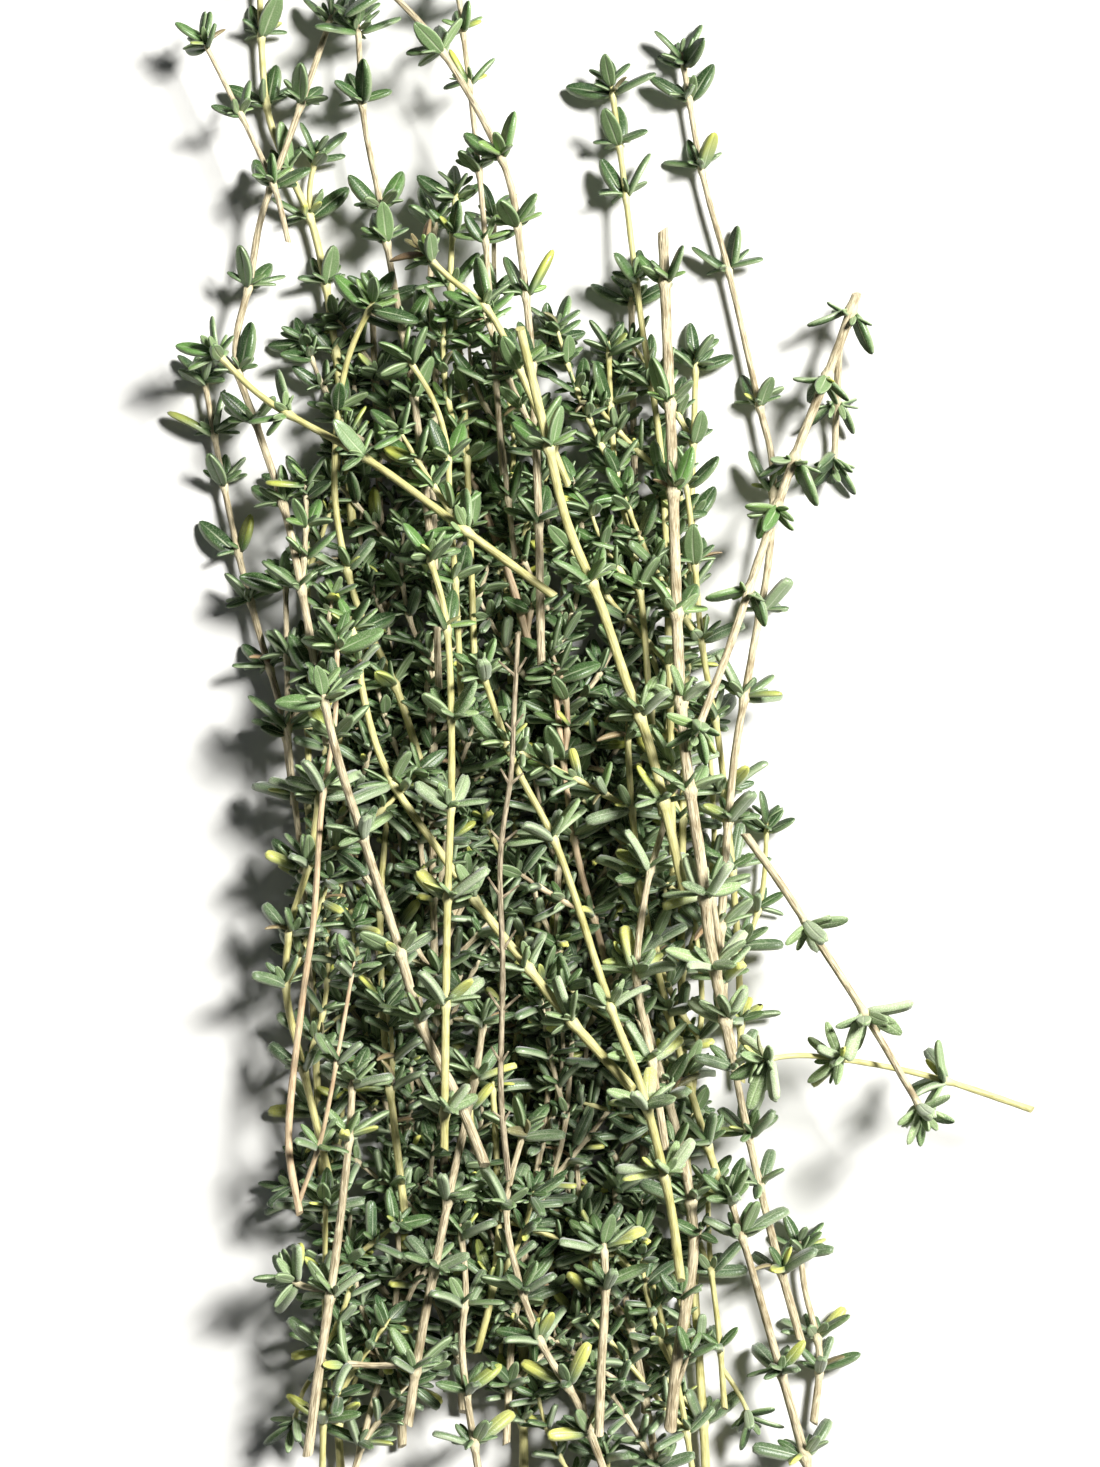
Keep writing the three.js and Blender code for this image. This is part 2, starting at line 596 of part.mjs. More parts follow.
const bundle = new THREE.Group();
stems.forEach((stem, index) => {
  const { spec, main, branch, turn } = stem;
  const others = stems.filter((_, i) => i !== index).flatMap((s) => s.own);
  const grown = (line, widths, whorls) =>
    stemMesh(line, widths, turn, whorls, others, !spec.trimmed);
  const body = grown(main, [spec.base, spec.end], whorlDistances(main, spec));
  let geometry = body.geometry;
  stem.own.push(...body.balls);
  if (branch) {
    const side = grown(branch, [spec.end * 1.05, spec.end * 0.8], whorlDistances(branch, {}));
    geometry = joined(body.geometry, side.geometry);
    stem.own.push(...side.balls);
  }
  const material = new THREE.MeshStandardMaterial({ ...FINISHES[spec.finish], metalness: 0 });
  const mesh = new THREE.Mesh(geometry, material);
  mesh.name = spec.name;
  bundle.add(mesh);
});

export default bundle;
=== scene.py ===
# %% [markdown]
# # A bundle of cut thyme
# The object is a loose bundle of fresh thyme that lies on a table: sixty sprigs side by side, with a few
# across. A CAD model of it comes first, with one plain solid for each sprig, and this script makes the looks
# around it: a squarish stem and shaped leaves for each sprig, in the place that the CAD model gives it. Each
# sprig is made of two pieces, its stem and its leaves, because they have different finishes.

# %% Load the frame
import math
import random

import bpy
import numpy as np
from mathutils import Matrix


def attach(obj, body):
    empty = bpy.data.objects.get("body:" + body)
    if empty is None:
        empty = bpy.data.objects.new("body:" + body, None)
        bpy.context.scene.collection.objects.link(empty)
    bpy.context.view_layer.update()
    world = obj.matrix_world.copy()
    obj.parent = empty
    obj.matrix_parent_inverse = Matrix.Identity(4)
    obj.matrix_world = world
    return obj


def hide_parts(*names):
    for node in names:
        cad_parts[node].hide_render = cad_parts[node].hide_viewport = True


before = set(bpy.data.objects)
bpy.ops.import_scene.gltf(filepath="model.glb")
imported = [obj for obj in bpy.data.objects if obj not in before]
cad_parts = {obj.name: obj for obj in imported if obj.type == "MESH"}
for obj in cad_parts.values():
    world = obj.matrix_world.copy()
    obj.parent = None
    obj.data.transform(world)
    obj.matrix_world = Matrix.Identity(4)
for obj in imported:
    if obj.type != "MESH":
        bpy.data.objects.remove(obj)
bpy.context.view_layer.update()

MM = 0.001
UP = np.array([0.0, 0.0, 1.0])


def unit(v):
    """A vector's direction."""
    return v / np.linalg.norm(v)


def activate(obj):
    """Selects one object alone, as a click on it does."""
    bpy.ops.object.select_all(action="DESELECT")
    obj.select_set(True)
    bpy.context.view_layer.objects.active = obj


# %% [markdown]
# ## Where the sprigs lie
# A sprig's route is a few points on a flat chart of the bundle, in millimetres, from its cut end to its tip.
# The routes, and the places of the leaf pairs along them, are those of the CAD model. They could be guessed
# from the CAD meshes, but a list is exact and easy to change. Each entry gives the finish of the stem, its
# width at the cut end and at the other end, and its route. A trimmed sprig has its tip cut off, a bare one
# has no leaves, and a fork is a side branch.

# %% The chart of routes
CHART_MIDDLE = np.array([8.98, -6.43])  # the chart's point above the frame's origin


def sprig(name, finish, base, end, route, whorls=None, fork=None, trimmed=False, bare=False):
    """One row of the chart."""
    return dict(
        name=name, finish=finish, base=base, end=end, route=route,
        whorls=whorls, fork=fork, trimmed=trimmed, bare=bare,
    )


def under_sprig(k):
    """One of the sprigs that run beneath the others."""
    foot = (-36 + 10.5 * k, -129 + 6 * (k % 3))
    waist = (-39 + 10.6 * k + (2 if k % 2 else -2), -42)
    top = (-42 + 11.2 * k, 44 + 11 * ((k * 3) % 4))
    fork = [waist, (waist[0] + 5.5, -22), (waist[0] + 4.5, 4 + 8 * (k % 2))]
    return sprig(f"under_sprig_{k + 1}", "tan" if k % 3 else "green", 1.5, 1.0, [foot, waist, top], fork=fork)


UNDER_SPRIGS = 7
SPRIGS = [under_sprig(k) for k in range(UNDER_SPRIGS)] + [
    sprig("left_edge_sprig", "tan", 1.2, 0.9, [
        (-44, -12), (-46, 3), (-50, 17), (-53.5, 30), (-56.5, 44), (-60, 63),
    ], whorls=[(-46, 0), (-48.5, 12), (-52, 22), (-53.5, 31), (-56, 42), (-58.5, 52)]),
    sprig("left_inner_sprig", "tan", 1.1, 0.9, [
        (-41, -45), (-42.5, -22), (-44.5, -3), (-45, 12), (-45.3, 28),
    ]),
    sprig("left_low_sprig", "green", 1.3, 1.0, [
        (-38, -75), (-42, -58), (-45, -44), (-44, -32), (-41, -22), (-39, -8),
    ], whorls=[(-42, -57), (-44.8, -43), (-44, -33), (-41, -22)]),
    sprig("forked_russet_sprig", "russet", 1.4, 1.0, [
        (-3.5, 15), (-7, 27), (-11.5, 39), (-16, 50),
    ], fork=[(-4, 17), (-2.8, 24)], whorls=[(-11, 38)]),
    sprig("upright_tan_sprig", "tan", 1.2, 1.0, [
        (-19, 8), (-20, 42), (-19.6, 60), (-20.5, 78), (-19.5, 90),
    ], whorls=[(-19.4, 25), (-20, 40), (-19.8, 55), (-20, 70)]),
    sprig("upright_green_sprig", "green", 1.1, 0.9, [
        (-13, 14), (-14, 42), (-15, 62), (-17, 76), (-16, 94),
    ], whorls=[(-13.7, 35), (-14.3, 48), (-15, 58), (-16.5, 76), (-16.7, 86)]),
    sprig("mid_cluster_sprig", "tan", 1.0, 0.8, [(-6, 30), (-9, 58), (-9.5, 72), (-9.6, 90)]),
    sprig("top_thin_sprig", "tan", 1.0, 0.8, [
        (-8, 44), (-11, 84), (-13, 104), (-14.4, 116), (-16, 129),
    ], whorls=[(-9, 60), (-10, 72), (-11, 85), (-12.5, 97), (-13.6, 112), (-14.6, 120)]),
    sprig("leaf_top_foot", "green", 1.2, 0.9, [(14, -146), (11, -134), (9.3, -122)]),
    sprig("short_green_foot", "green", 1.0, 0.8, [
        (30, -116), (29, -103), (27.5, -90), (27, -76),
    ], fork=[(29.5, -109), (32.5, -113.5), (35, -119)]),
    sprig("low_middle_sprig", "tan", 1.4, 1.0, [
        (20, -136), (16, -112), (12.5, -94), (11, -76),
    ], fork=[(14, -103), (6.5, -88), (4, -68)]),
    sprig("thin_green_foot", "green", 1.0, 0.8, [
        (25, -130), (22, -112), (17, -92), (15, -84),
    ], fork=[(18.4, -97.5), (12.5, -90), (5, -82)]),
    sprig("slanting_left_foot", "tan", 1.2, 0.9, [
        (-35, -132), (-31, -117), (-27.5, -104), (-26, -90), (-27, -76),
    ], fork=[(-27.5, -104), (-22, -90), (-20, -70)]),
    sprig("low_left_sprig", "green", 1.1, 0.8, [
        (-39, -128), (-38.6, -108), (-38.4, -90), (-38.2, -78),
    ], fork=[(-38.6, -108), (-42, -112), (-44.5, -120)]),
    sprig("bare_foot_sprig", "tan", 1.3, 1.0, [
        (-7.5, -122), (-6.5, -104), (-3, -80), (0, -58), (-1, -40),
    ], fork=[(-4, -86), (2, -70), (4, -50)]),
    sprig("right_thin_sprig", "green", 1.2, 0.9, [
        (21, -24), (20.4, 10), (19.2, 46), (15.5, 72), (12.6, 96), (10.4, 113),
    ], whorls=[
        (20.5, -6), (20.4, 12), (19.8, 30), (19, 45), (17.5, 60), (15, 77), (13, 92.5), (12, 102),
    ]),
    sprig("right_short_sprig", "green", 1.2, 0.9, [
        (19, -14), (17, 5), (15.3, 25), (11.6, 43), (10.5, 55), (10, 68),
    ], whorls=[(17, 5), (15.5, 23), (14, 31), (11.4, 45.5), (10.5, 56)]),
    sprig("right_inner_sprig", "green", 1.2, 0.9, [
        (33, -60), (32.5, -40), (31, -20), (29, -2), (26, 15), (24.5, 32), (23, 45),
    ], fork=[(32.5, -40), (36.5, -28), (37.5, -14)]),
    sprig("low_yellow_sprig", "green", 1.3, 1.0, [
        (30, -80), (24.3, -62), (20, -47), (16.5, -32), (14, -14), (13, 2),
    ], fork=[(24.3, -62), (26, -46), (24.5, -30)]),
    sprig("pale_pink_sprig", "russet", 1.2, 0.9, [
        (13, -54), (8.7, -36), (4.5, -20), (2.2, -4), (0.4, 12),
    ]),
    sprig("right_long_sprig", "tan", 1.4, 0.9, [
        (28.5, -42), (31, -8), (34.3, 12), (37.6, 30), (38.3, 46), (36, 57), (31, 79), (26.2, 97),
        (22.6, 118),
    ], whorls=[
        (29, -32), (30.5, -14), (32.5, 4.5), (36, 22), (38.3, 42), (36.2, 57), (31, 79), (26, 97),
        (24, 108),
    ]),
    sprig("top_middle_sprig", "tan", 1.4, 1.0, [
        (-1.5, 12), (-2, 38), (-3, 62), (-5, 82), (-8, 97), (-19, 117), (-30, 129),
    ], whorls=[(-2, 36), (-2.5, 50), (-3.2, 62), (-4.4, 74), (-5.6, 86), (-8, 97), (-18.5, 117)]),
    sprig("top_left_sprig", "green", 1.4, 1.0, [
        (-34, 36), (-37, 66), (-40.5, 86), (-45, 97), (-49, 109), (-50.3, 132),
    ], fork=[(-41, 87.5), (-41.5, 94), (-40, 101)], whorls=[
        (-35.5, 55), (-37, 66), (-39, 78), (-42, 90), (-45, 97), (-48.6, 109), (-50, 121),
    ]),
    sprig("bowed_left_sprig", "tan", 1.4, 1.0, [
        (-38, -2), (-41.5, 20), (-45, 37), (-50, 52), (-54, 65), (-51.5, 78), (-49.5, 89), (-44.5, 103),
        (-37, 125),
    ], whorls=[
        (-39.5, 10), (-42, 24), (-45.5, 40), (-50, 52), (-53.5, 63), (-51.5, 77), (-48, 94), (-43, 107),
    ]),
    sprig("upper_tan_sprig", "tan", 1.3, 0.9, [
        (-20, 30), (-23, 56), (-25.5, 70), (-27.8, 83), (-29.5, 93), (-32, 106), (-33, 123),
    ], whorls=[(-21.5, 45), (-23.2, 58), (-25.5, 70), (-27.8, 83), (-29, 91), (-32, 108)]),
    sprig("leafy_curl_sprig", "green", 1.1, 0.9, [
        (-15, 5), (-16, 25), (-17, 40), (-17.5, 49), (-20, 57), (-25, 65),
    ], whorls=[(-16, 25), (-17, 37), (-17.4, 46)]),
    sprig("curling_tip_sprig", "green", 1.3, 0.9, [
        (3, 42), (-5, 61), (-10.5, 71.5), (-17, 77), (-22, 82),
    ], whorls=[(-5, 61.5), (-10, 71)]),
    sprig("olive_stem_sprig", "green", 1.4, 1.0, [
        (-24.8, -82), (-26.5, -68), (-28.2, -54), (-29, -40), (-29, -27), (-27.6, -10),
    ], whorls=[(-28, -60), (-29, -45), (-29, -30)]),
    sprig("short_olive_sprig", "green", 1.2, 1.0, [
        (-12.5, -106), (-10, -96), (-8.8, -85), (-9.2, -72), (-10, -58),
    ], whorls=[(-10, -95), (-9, -80)]),
    sprig("low_zigzag_sprig", "tan", 1.4, 1.0, [
        (10, -128), (5, -115), (-1.5, -104), (-5.6, -92), (-7.4, -80), (-4, -66),
    ], whorls=[(7, -120), (3.4, -112.5), (-1, -105), (-4.8, -95), (-7, -82)]),
    sprig("right_foot_sprig", "tan", 1.3, 0.9, [
        (45.5, -119), (46.5, -107), (44, -96), (43, -87),
    ], whorls=[(46.5, -110), (45.8, -103)]),
    sprig("right_edge_stem", "tan", 1.5, 1.0, [
        (43, -104), (38, -86), (33.3, -66), (30.2, -50), (29, -38), (27, -24),
    ], whorls=[(40, -93), (36.5, -79), (34, -69), (31.5, -57), (29.3, -42)]),
    sprig("torn_bark_stem", "tan", 2.0, 1.2, [
        (20.5, -118.5), (21.8, -106), (24.4, -89), (23.4, -76), (20, -62), (16.5, -50), (13.5, -36),
    ], whorls=[(23.8, -80), (20, -62), (15, -43)]),
    sprig("middle_node_sprig", "tan", 1.4, 1.0, [
        (19.5, -70), (17, -54), (14.6, -41), (16.3, -26), (19.5, -14), (20.5, -3),
    ], whorls=[(17, -54), (14.7, -42), (17, -23)]),
    sprig("tall_green_sprig", "green", 1.3, 0.9, [
        (-20, -12), (-26, 7), (-33, 22), (-36.6, 38), (-36.5, 52), (-34.5, 64), (-29.5, 75),
    ], whorls=[(-27, 9), (-34.5, 29), (-36.4, 55), (-32, 70)]),
    sprig("swaying_green_sprig", "green", 1.7, 1.1, [
        (14, -60), (3, -48), (-3.5, -40), (-13, -28), (-19.5, -19), (-27, -8), (-31, 3), (-34, 20),
    ], whorls=[(5, -49.5), (-4, -39.5), (-12, -29), (-26, -9), (-32.5, 10)]),
    sprig("long_slant_sprig", "green", 1.5, 1.0, [
        (22, -92), (20, -78), (15.5, -60), (10, -45.5), (1.5, -20), (-6, -5), (-12, 12),
    ], whorls=[(19, -73), (16.5, -62), (10, -45), (0.3, -17.5), (-7, -3)]),
    sprig("pale_foot_sprig", "tan", 1.3, 1.0, [
        (-11.5, -130), (-14, -114), (-15, -104), (-14.4, -94), (-15.4, -83),
    ], whorls=[(-13, -122), (-14.2, -113), (-14.6, -98)]),
    sprig("left_middle_stem", "tan", 1.6, 1.1, [
        (-24.2, -117.5), (-22, -103), (-19, -88), (-16.4, -75), (-13, -60), (-11, -47),
    ], fork=[(-22.7, -107.2), (-29, -107.6), (-37, -107)], whorls=[
        (-23, -109), (-19.7, -91), (-17, -78), (-13, -60),
    ]),
    sprig("stout_foot_sprig", "tan", 1.6, 1.2, [
        (8.3, -119), (8.7, -108), (9.4, -95), (9, -85),
    ], whorls=[(9.2, -95)]),
    sprig("left_foot_stem", "tan", 1.7, 1.1, [
        (-41, -122), (-39, -107), (-36.5, -90), (-34.2, -70), (-33.4, -57),
    ], fork=[(-37, -94), (-41, -94), (-45.5, -92)], whorls=[(-37.3, -95), (-34.3, -70)]),
    sprig("right_corner_stem", "tan", 1.7, 1.0, [
        (47, -136), (42, -118), (38, -104), (34, -90), (30, -77),
    ], whorls=[(44, -124), (39.6, -110), (33, -86)]),
    sprig("pink_forked_sprig", "russet", 1.3, 0.8, [
        (-42.5, -81.5), (-44.4, -68), (-42, -45), (-40, -31), (-38.6, -12), (-36.5, 1), (-36, 17),
    ], fork=[(-42.6, -79.5), (-38.6, -68), (-35.8, -54), (-33, -38)], whorls=[
        (-38.6, -11), (-36.8, 0), (-36.1, 9),
    ]),
    sprig("woody_slant_sprig", "tan", 1.7, 1.3, [
        (-11, -73), (-15.5, -62), (-21.5, -50), (-26, -35), (-30.5, -21), (-35.5, -5), (-38.6, 8),
    ], whorls=[(-21.5, -50), (-25, -38), (-31, -19), (-37, 2)]),
    sprig("bright_straight_sprig", "green", 1.4, 1.1, [
        (-17.8, -70), (-17.6, -50), (-17.3, -28), (-16.6, -5), (-17.4, 18), (-21, 32),
    ], whorls=[(-17.7, -63), (-17.5, -46), (-17.3, -27.5), (-16.8, -13), (-16.7, 1), (-17.3, 17)]),
    sprig("diagonal_green_sprig", "green", 1.4, 1.0, [
        (0.5, 23.3), (-14, 34), (-31, 46.5), (-48, 56.5), (-58, 66),
    ], whorls=[(-15, 34.7), (-31, 46.5), (-43, 54)]),
    sprig("trimmed_green_stem", "green", 1.7, 1.5, [
        (22.5, -26), (17, -3), (12.4, 10), (8.4, 22), (3, 35), (0, 47), (-2.6, 58), (-5, 68),
    ], trimmed=True, whorls=[(19, -11), (14.5, 4), (7.5, 25), (0, 46.5)]),
    sprig("dry_twig", "dry", 1.0, 0.8, [
        (-7, -75), (-8.3, -60), (-8, -40), (-8.4, -21), (-6.6, -7), (-6, 5), (-5.4, 17),
    ], bare=True),
    sprig("trimmed_brown_stem", "tan", 1.9, 1.8, [
        (30.6, -54), (27, -36), (25.3, -22), (23, -6), (21.8, 10), (21.2, 30), (20.8, 46), (20.2, 62),
        (19.3, 86),
    ], trimmed=True, whorls=[
        (29, -49), (27.6, -40), (26, -28), (23.4, -9), (22, 5), (21.5, 21), (21, 40), (20.5, 57),
        (19.6, 78),
    ]),
    sprig("leaning_branch", "tan", 1.6, 1.2, [
        (52.7, 75.5), (49, 65), (42.5, 49), (36, 31), (30, 14), (24, -1),
    ], fork=[(49.6, 67), (49.4, 57), (49, 45)], whorls=[
        (51.5, 72), (47, 60), (41.5, 47), (38, 38), (33, 23.5),
    ]),
    sprig("stray_green_sprig", "green", 1.2, 0.8, [
        (82, -64), (65, -58.3), (50, -55), (41, -54), (34, -55),
    ], whorls=[(66, -58.6), (50, -55)]),
    sprig("stray_tan_sprig", "tan", 1.3, 1.1, [
        (33, -17), (38, -24), (43, -31.5), (53.5, -48), (63.5, -65),
    ], whorls=[(43, -31.5), (53.5, -48)]),
    sprig("loose_top_sprig", "tan", 1.0, 0.8, [
        (-44.7, 84), (-47, 93), (-51, 102), (-54.5, 109), (-60, 120),
    ]),
]
print(len(SPRIGS), "sprigs on the chart")

# %% [markdown]
# ## Laying the sprigs down
# The sprigs are laid one after the other. Each stem rests on the highest stems below it, bridges the gaps
# between them and sags a little, which gives its height at each point. A physics simulation could do this
# too, but it would take minutes and give slightly different piles. This short rule is the CAD model's own,
# so the result is the same.

# %% Lay the stems
SPAN_POINTS = 16  # points worked out on each span of a route before it is divided evenly
STEP = 3.0  # mm between the points of a line
REST_HEIGHT = 2.6  # mm from the surface to the axis of the lowest stems
REACH = 6.0  # mm, sideways distance at which one stem still rests on another
LIFT = 5.0  # mm between the axes of stems that cross
BEAM_PASSES = 220  # times that each point is lifted to the mean of its neighbours
SAG = 0.02  # mm below that mean
SMOOTH_PASSES = 4
FORK_RISE = 5  # points over which a side branch leaves the height of its main stem


def smooth_through(points, parts):
    """Points on a smooth curve through the given ones, with so many parts to each span."""
    p = np.vstack([2 * points[0] - points[1], points, 2 * points[-1] - points[-2]])
    made = []
    for p0, p1, p2, p3 in zip(p, p[1:], p[2:], p[3:]):
        t0, t1 = (p2 - p0) / 2, (p3 - p1) / 2
        for t in np.arange(parts) / parts:
            made.append(p1 + t0 * t + (3 * (p2 - p1) - 2 * t0 - t1) * t**2 + (2 * (p1 - p2) + t0 + t1) * t**3)
    return np.array(made + [points[-1]])


def distances(line):
    """The distance of each point of a line from its start."""
    return np.r_[0, np.cumsum(np.linalg.norm(np.diff(line, axis=0), axis=1))]


def flat_line(route):
    """A route as an evenly divided line, seen from above."""
    fine = smooth_through(np.array(route, float) - CHART_MIDDLE, SPAN_POINTS)
    along = distances(fine)
    count = max(3, int(along[-1] / STEP + 0.5))
    wanted = np.linspace(0, along[-1], count + 1)
    return np.column_stack([np.interp(wanted, along, fine[:, k]) for k in (0, 1)])


def middles(z):
    """For each point the mean of its neighbours."""
    return (np.r_[z[0], z[:-1]] + np.r_[z[1:], z[-1]]) / 2


def lay_down(flat, pile):
    """Gives a flat line its heights on what is already laid."""
    need = np.full(len(flat), REST_HEIGHT)
    if len(pile):
        away = np.hypot(flat[:, None, 0] - pile[:, 0], flat[:, None, 1] - pile[:, 1]) / REACH
        lift = pile[:, 2] + LIFT * np.sqrt(np.clip(1 - away**2, 0, None))
        need = np.maximum(need, np.where(away < 1, lift, 0).max(axis=1))
    z = need.copy()
    for _ in range(BEAM_PASSES):
        z = np.maximum(need, middles(z) - SAG)
    for _ in range(SMOOTH_PASSES):
        z = (z + middles(z)) / 2
    return np.column_stack([flat, z])


def lay_branch(fork, main, pile):
    """A side branch leaves its stem at the stem's height, and is laid like a stem after that."""
    line = lay_down(flat_line(fork), pile)
    root = main[np.linalg.norm(main - line[0], axis=1).argmin()]
    share = np.minimum(np.arange(len(line)) / FORK_RISE, 1)
    line[:, 2] = root[2] + (line[:, 2] - root[2]) * share
    return line


pile = np.empty((0, 3))
for number, s in enumerate(SPRIGS):
    s["number"] = number
    s["line"] = lay_down(flat_line(s["route"]), pile)
    s["branch"] = lay_branch(s["fork"], s["line"], pile) if s["fork"] else None
    pile = np.vstack([pile, s["line"]] + ([s["branch"]] if s["fork"] else []))

# %% Compare the lines with the CAD solids
ends_off = []
for s in SPRIGS:
    solid = np.array([v.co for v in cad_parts[s["name"]].data.vertices]) / MM
    for end in (s["line"][0], s["line"][-1]):
        ends_off.append(np.linalg.norm(solid - end, axis=1).min())
print(f"stem ends lie within {max(ends_off):.2f} mm of the corners of their CAD solids")

# %% [markdown]
# ## Where the leaves grow
# Thyme has its leaves in opposite pairs, each pair a quarter turn round from the last. In the corner of each
# leaf sits a tuft of smaller ones. The places on the chart say where the pairs are, and a sprig with none
# given has them evenly spaced. Sprigs deep in the bundle have short side shoots as well, which fill the
# shade.

# %% Places of the leaf pairs
WHORL_SPACING = 13.0  # mm
FIRST_WHORL = 10.0  # mm from the cut end
TIP_SETBACK = 3.0  # mm from the last pair to the tip
LEAF_BASE = 1.8  # mm of stem that a pair takes up
GOLDEN_TURN = 2.39996  # radians, spreads the sprigs' turns about their own axes


def whorl_distances(line, whorls, trimmed=False, bare=False):
    """Distances of the leaf pairs from the cut end."""
    if bare:
        return []
    along = distances(line)
    last = along[-1] - TIP_SETBACK
    if whorls:
        flat = np.array(whorls, float) - CHART_MIDDLE
        places = [along[np.hypot(*(line[:, :2] - p).T).argmin()] for p in flat]
    else:
        count = max(1, int((last - FIRST_WHORL) / WHORL_SPACING + 0.5))
        places = [FIRST_WHORL + i * (last - FIRST_WHORL) / count for i in range(count)]
    inner = [p for p in places if LEAF_BASE < p < last - 2 * LEAF_BASE]
    return inner if trimmed else inner + [last]


class Stem:
    """A stem's smooth axis in metres, with its half widths at both ends and the places of its leaf pairs."""

    def __init__(self, s, line, base, end, whorls):
        self.sprig, self.base, self.end = s, base * MM / 2, end * MM / 2
        self.whorls = [w * MM for w in whorls]
        self.points = smooth_through(line, 2) * MM
        self.along = distances(self.points)
        self.length = self.along[-1]
        self.turn = s["number"] * GOLDEN_TURN

    def at(self, distance):
        """The point on the axis at a distance, and the direction towards the tip there."""
        point = np.array([np.interp(distance, self.along, self.points[:, k]) for k in range(3)])
        near = [np.interp(distance + d, self.along, range(len(self.points))) for d in (-MM, MM)]
        steps = range(len(self.points))
        back, front = (np.array([np.interp(n, steps, self.points[:, k]) for k in range(3)]) for n in near)
        return point, unit(front - back)

    def across(self, ahead, angle):
        """A direction square to the stem, turned about it."""
        side = unit(np.cross(ahead, UP))
        return math.cos(angle) * side + math.sin(angle) * np.cross(side, ahead)


rng = random.Random(7)
SHOOT_LENGTH = (14, 30)  # mm
SHOOT_SPREAD = (0.3, 0.95)  # radians between a side shoot and its stem
SHOOT_WHORLS = 5.2  # mm between the leaf pairs of a side shoot
SHOOT_BEND = (-0.9, 0.2)  # radians from its foot to its tip
SHOOT_RISE = (-1, 3.5)  # mm
SHOOT_WIDTHS = 0.95, 0.65  # mm, at its foot and at its tip
SHOOT_PARTS = 5
SHADE_SPRIGS = 36  # how many of the lowest sprigs have side shoots
SHOOTS_UP_TO = 62  # mm along the bundle: sprigs are bare of side shoots beyond it
BUNDLE_MIDDLE = -19  # mm across: the dense part of the bundle lies to the left of the frame's origin
SHOOTS_WITHIN = 38  # mm to either side of the bundle's middle
TURN_INWARD = 20  # mm from the middle: side shoots beyond it lean inward
BUSHY_UP_TO = -45  # mm along the bundle: every leaf pair before it has a side shoot


def side_shoot(s, at, ahead, hand):
    """A short thin branch from one of a sprig's leaf pairs, as a Stem."""
    heading = math.atan2(ahead[1], ahead[0]) + hand * rng.uniform(*SHOOT_SPREAD)
    length = rng.uniform(*SHOOT_LENGTH)
    bend = hand * rng.uniform(*SHOOT_BEND)
    rise = rng.uniform(*SHOOT_RISE)
    line = [at / MM]
    for k in range(SHOOT_PARTS):
        heading += bend / SHOOT_PARTS
        step = np.array([math.cos(heading), math.sin(heading), 0]) * length / SHOOT_PARTS
        line.append(line[-1] + step + UP * rise / SHOOT_PARTS)
    line = np.array(line)
    line[:, 2] = np.maximum(line[:, 2], REST_HEIGHT - 1)
    whorls = [*np.arange(SHOOT_WHORLS, length - 2, SHOOT_WHORLS), length - 1.5]
    return Stem(s, line, *SHOOT_WIDTHS, whorls)


TWIG_SPACING = 9.5  # mm between the pairs of dead twigs on a dry stem
TWIG = dict(spread=(0.5, 1.0), widths=(0.6, 0.3))  # radians from its stem, and mm
TWIG_LENGTH = (1.8, 4.6)  # mm
TORN_STRIPS = 7
STRIP = dict(spread=(0.1, 0.28), widths=(1.3, 0.3))
STRIP_LENGTH = (5, 9)
OFFSHOOT_RISE = (0.05, 0.45)  # of its length
TURN_UP = 0.12  # more of its length, over its outer half


def offshoot(s, main, distance, hand, length, spread, widths):
    """A short stiff piece that stands off a stem: a dead twig, or a strip of torn bark."""
    at, ahead = main.at(distance * MM)
    heading = math.atan2(ahead[1], ahead[0]) + hand * rng.uniform(*spread)
    aside = np.array([math.cos(heading), math.sin(heading), rng.uniform(*OFFSHOOT_RISE)])
    line = [at / MM, at / MM + aside * length * 0.5, at / MM + (aside + UP * TURN_UP) * length]
    return Stem(s, np.array(line), *widths, [])


def offshoots(s, main):
    """The dead twigs of a dry stem, or the strips on a stem whose bark is torn."""
    made = []
    if s["finish"] == "dry":
        for distance in np.arange(TWIG_SPACING, main.length / MM, TWIG_SPACING):
            for hand in (-1, 1):
                place = distance + rng.uniform(-0.6, 0.6)
                made.append(offshoot(s, main, place, hand, rng.uniform(*TWIG_LENGTH), **TWIG))
    if s["name"] == "torn_bark_stem":
        for k in range(TORN_STRIPS):
            place = main.length / MM * (k + 0.5) / TORN_STRIPS
            hand = 1 if k % 2 else -1
            made.append(offshoot(s, main, place, hand, rng.uniform(*STRIP_LENGTH), **STRIP))
    return made


def side_shoots(s, main):
    """One stem's side shoots: on both sides of the sprigs beneath, on one of the rest, inward at the edges."""
    made = []
    under = s["number"] < UNDER_SPRIGS
    for index, distance in enumerate(main.whorls[:-1]):
        at, ahead = main.at(distance)
        off = at[0] / MM - BUNDLE_MIDDLE
        inside = at[1] < SHOOTS_UP_TO * MM and abs(off) < SHOOTS_WITHIN
        hands = (-1, 1) if under else (1 if index % 4 == 1 else -1,)
        if abs(off) > TURN_INWARD:
            hands = (1 if off > 0 else -1,)
        bushy = under or index % 2 or at[1] < BUSHY_UP_TO * MM
        if inside and bushy:
            made += [side_shoot(s, at, ahead, hand) for hand in hands]
    return made


# %% Make the axes of all the stems
BRANCH_WIDTHS = 1.05, 0.8  # of the width at its main stem's end

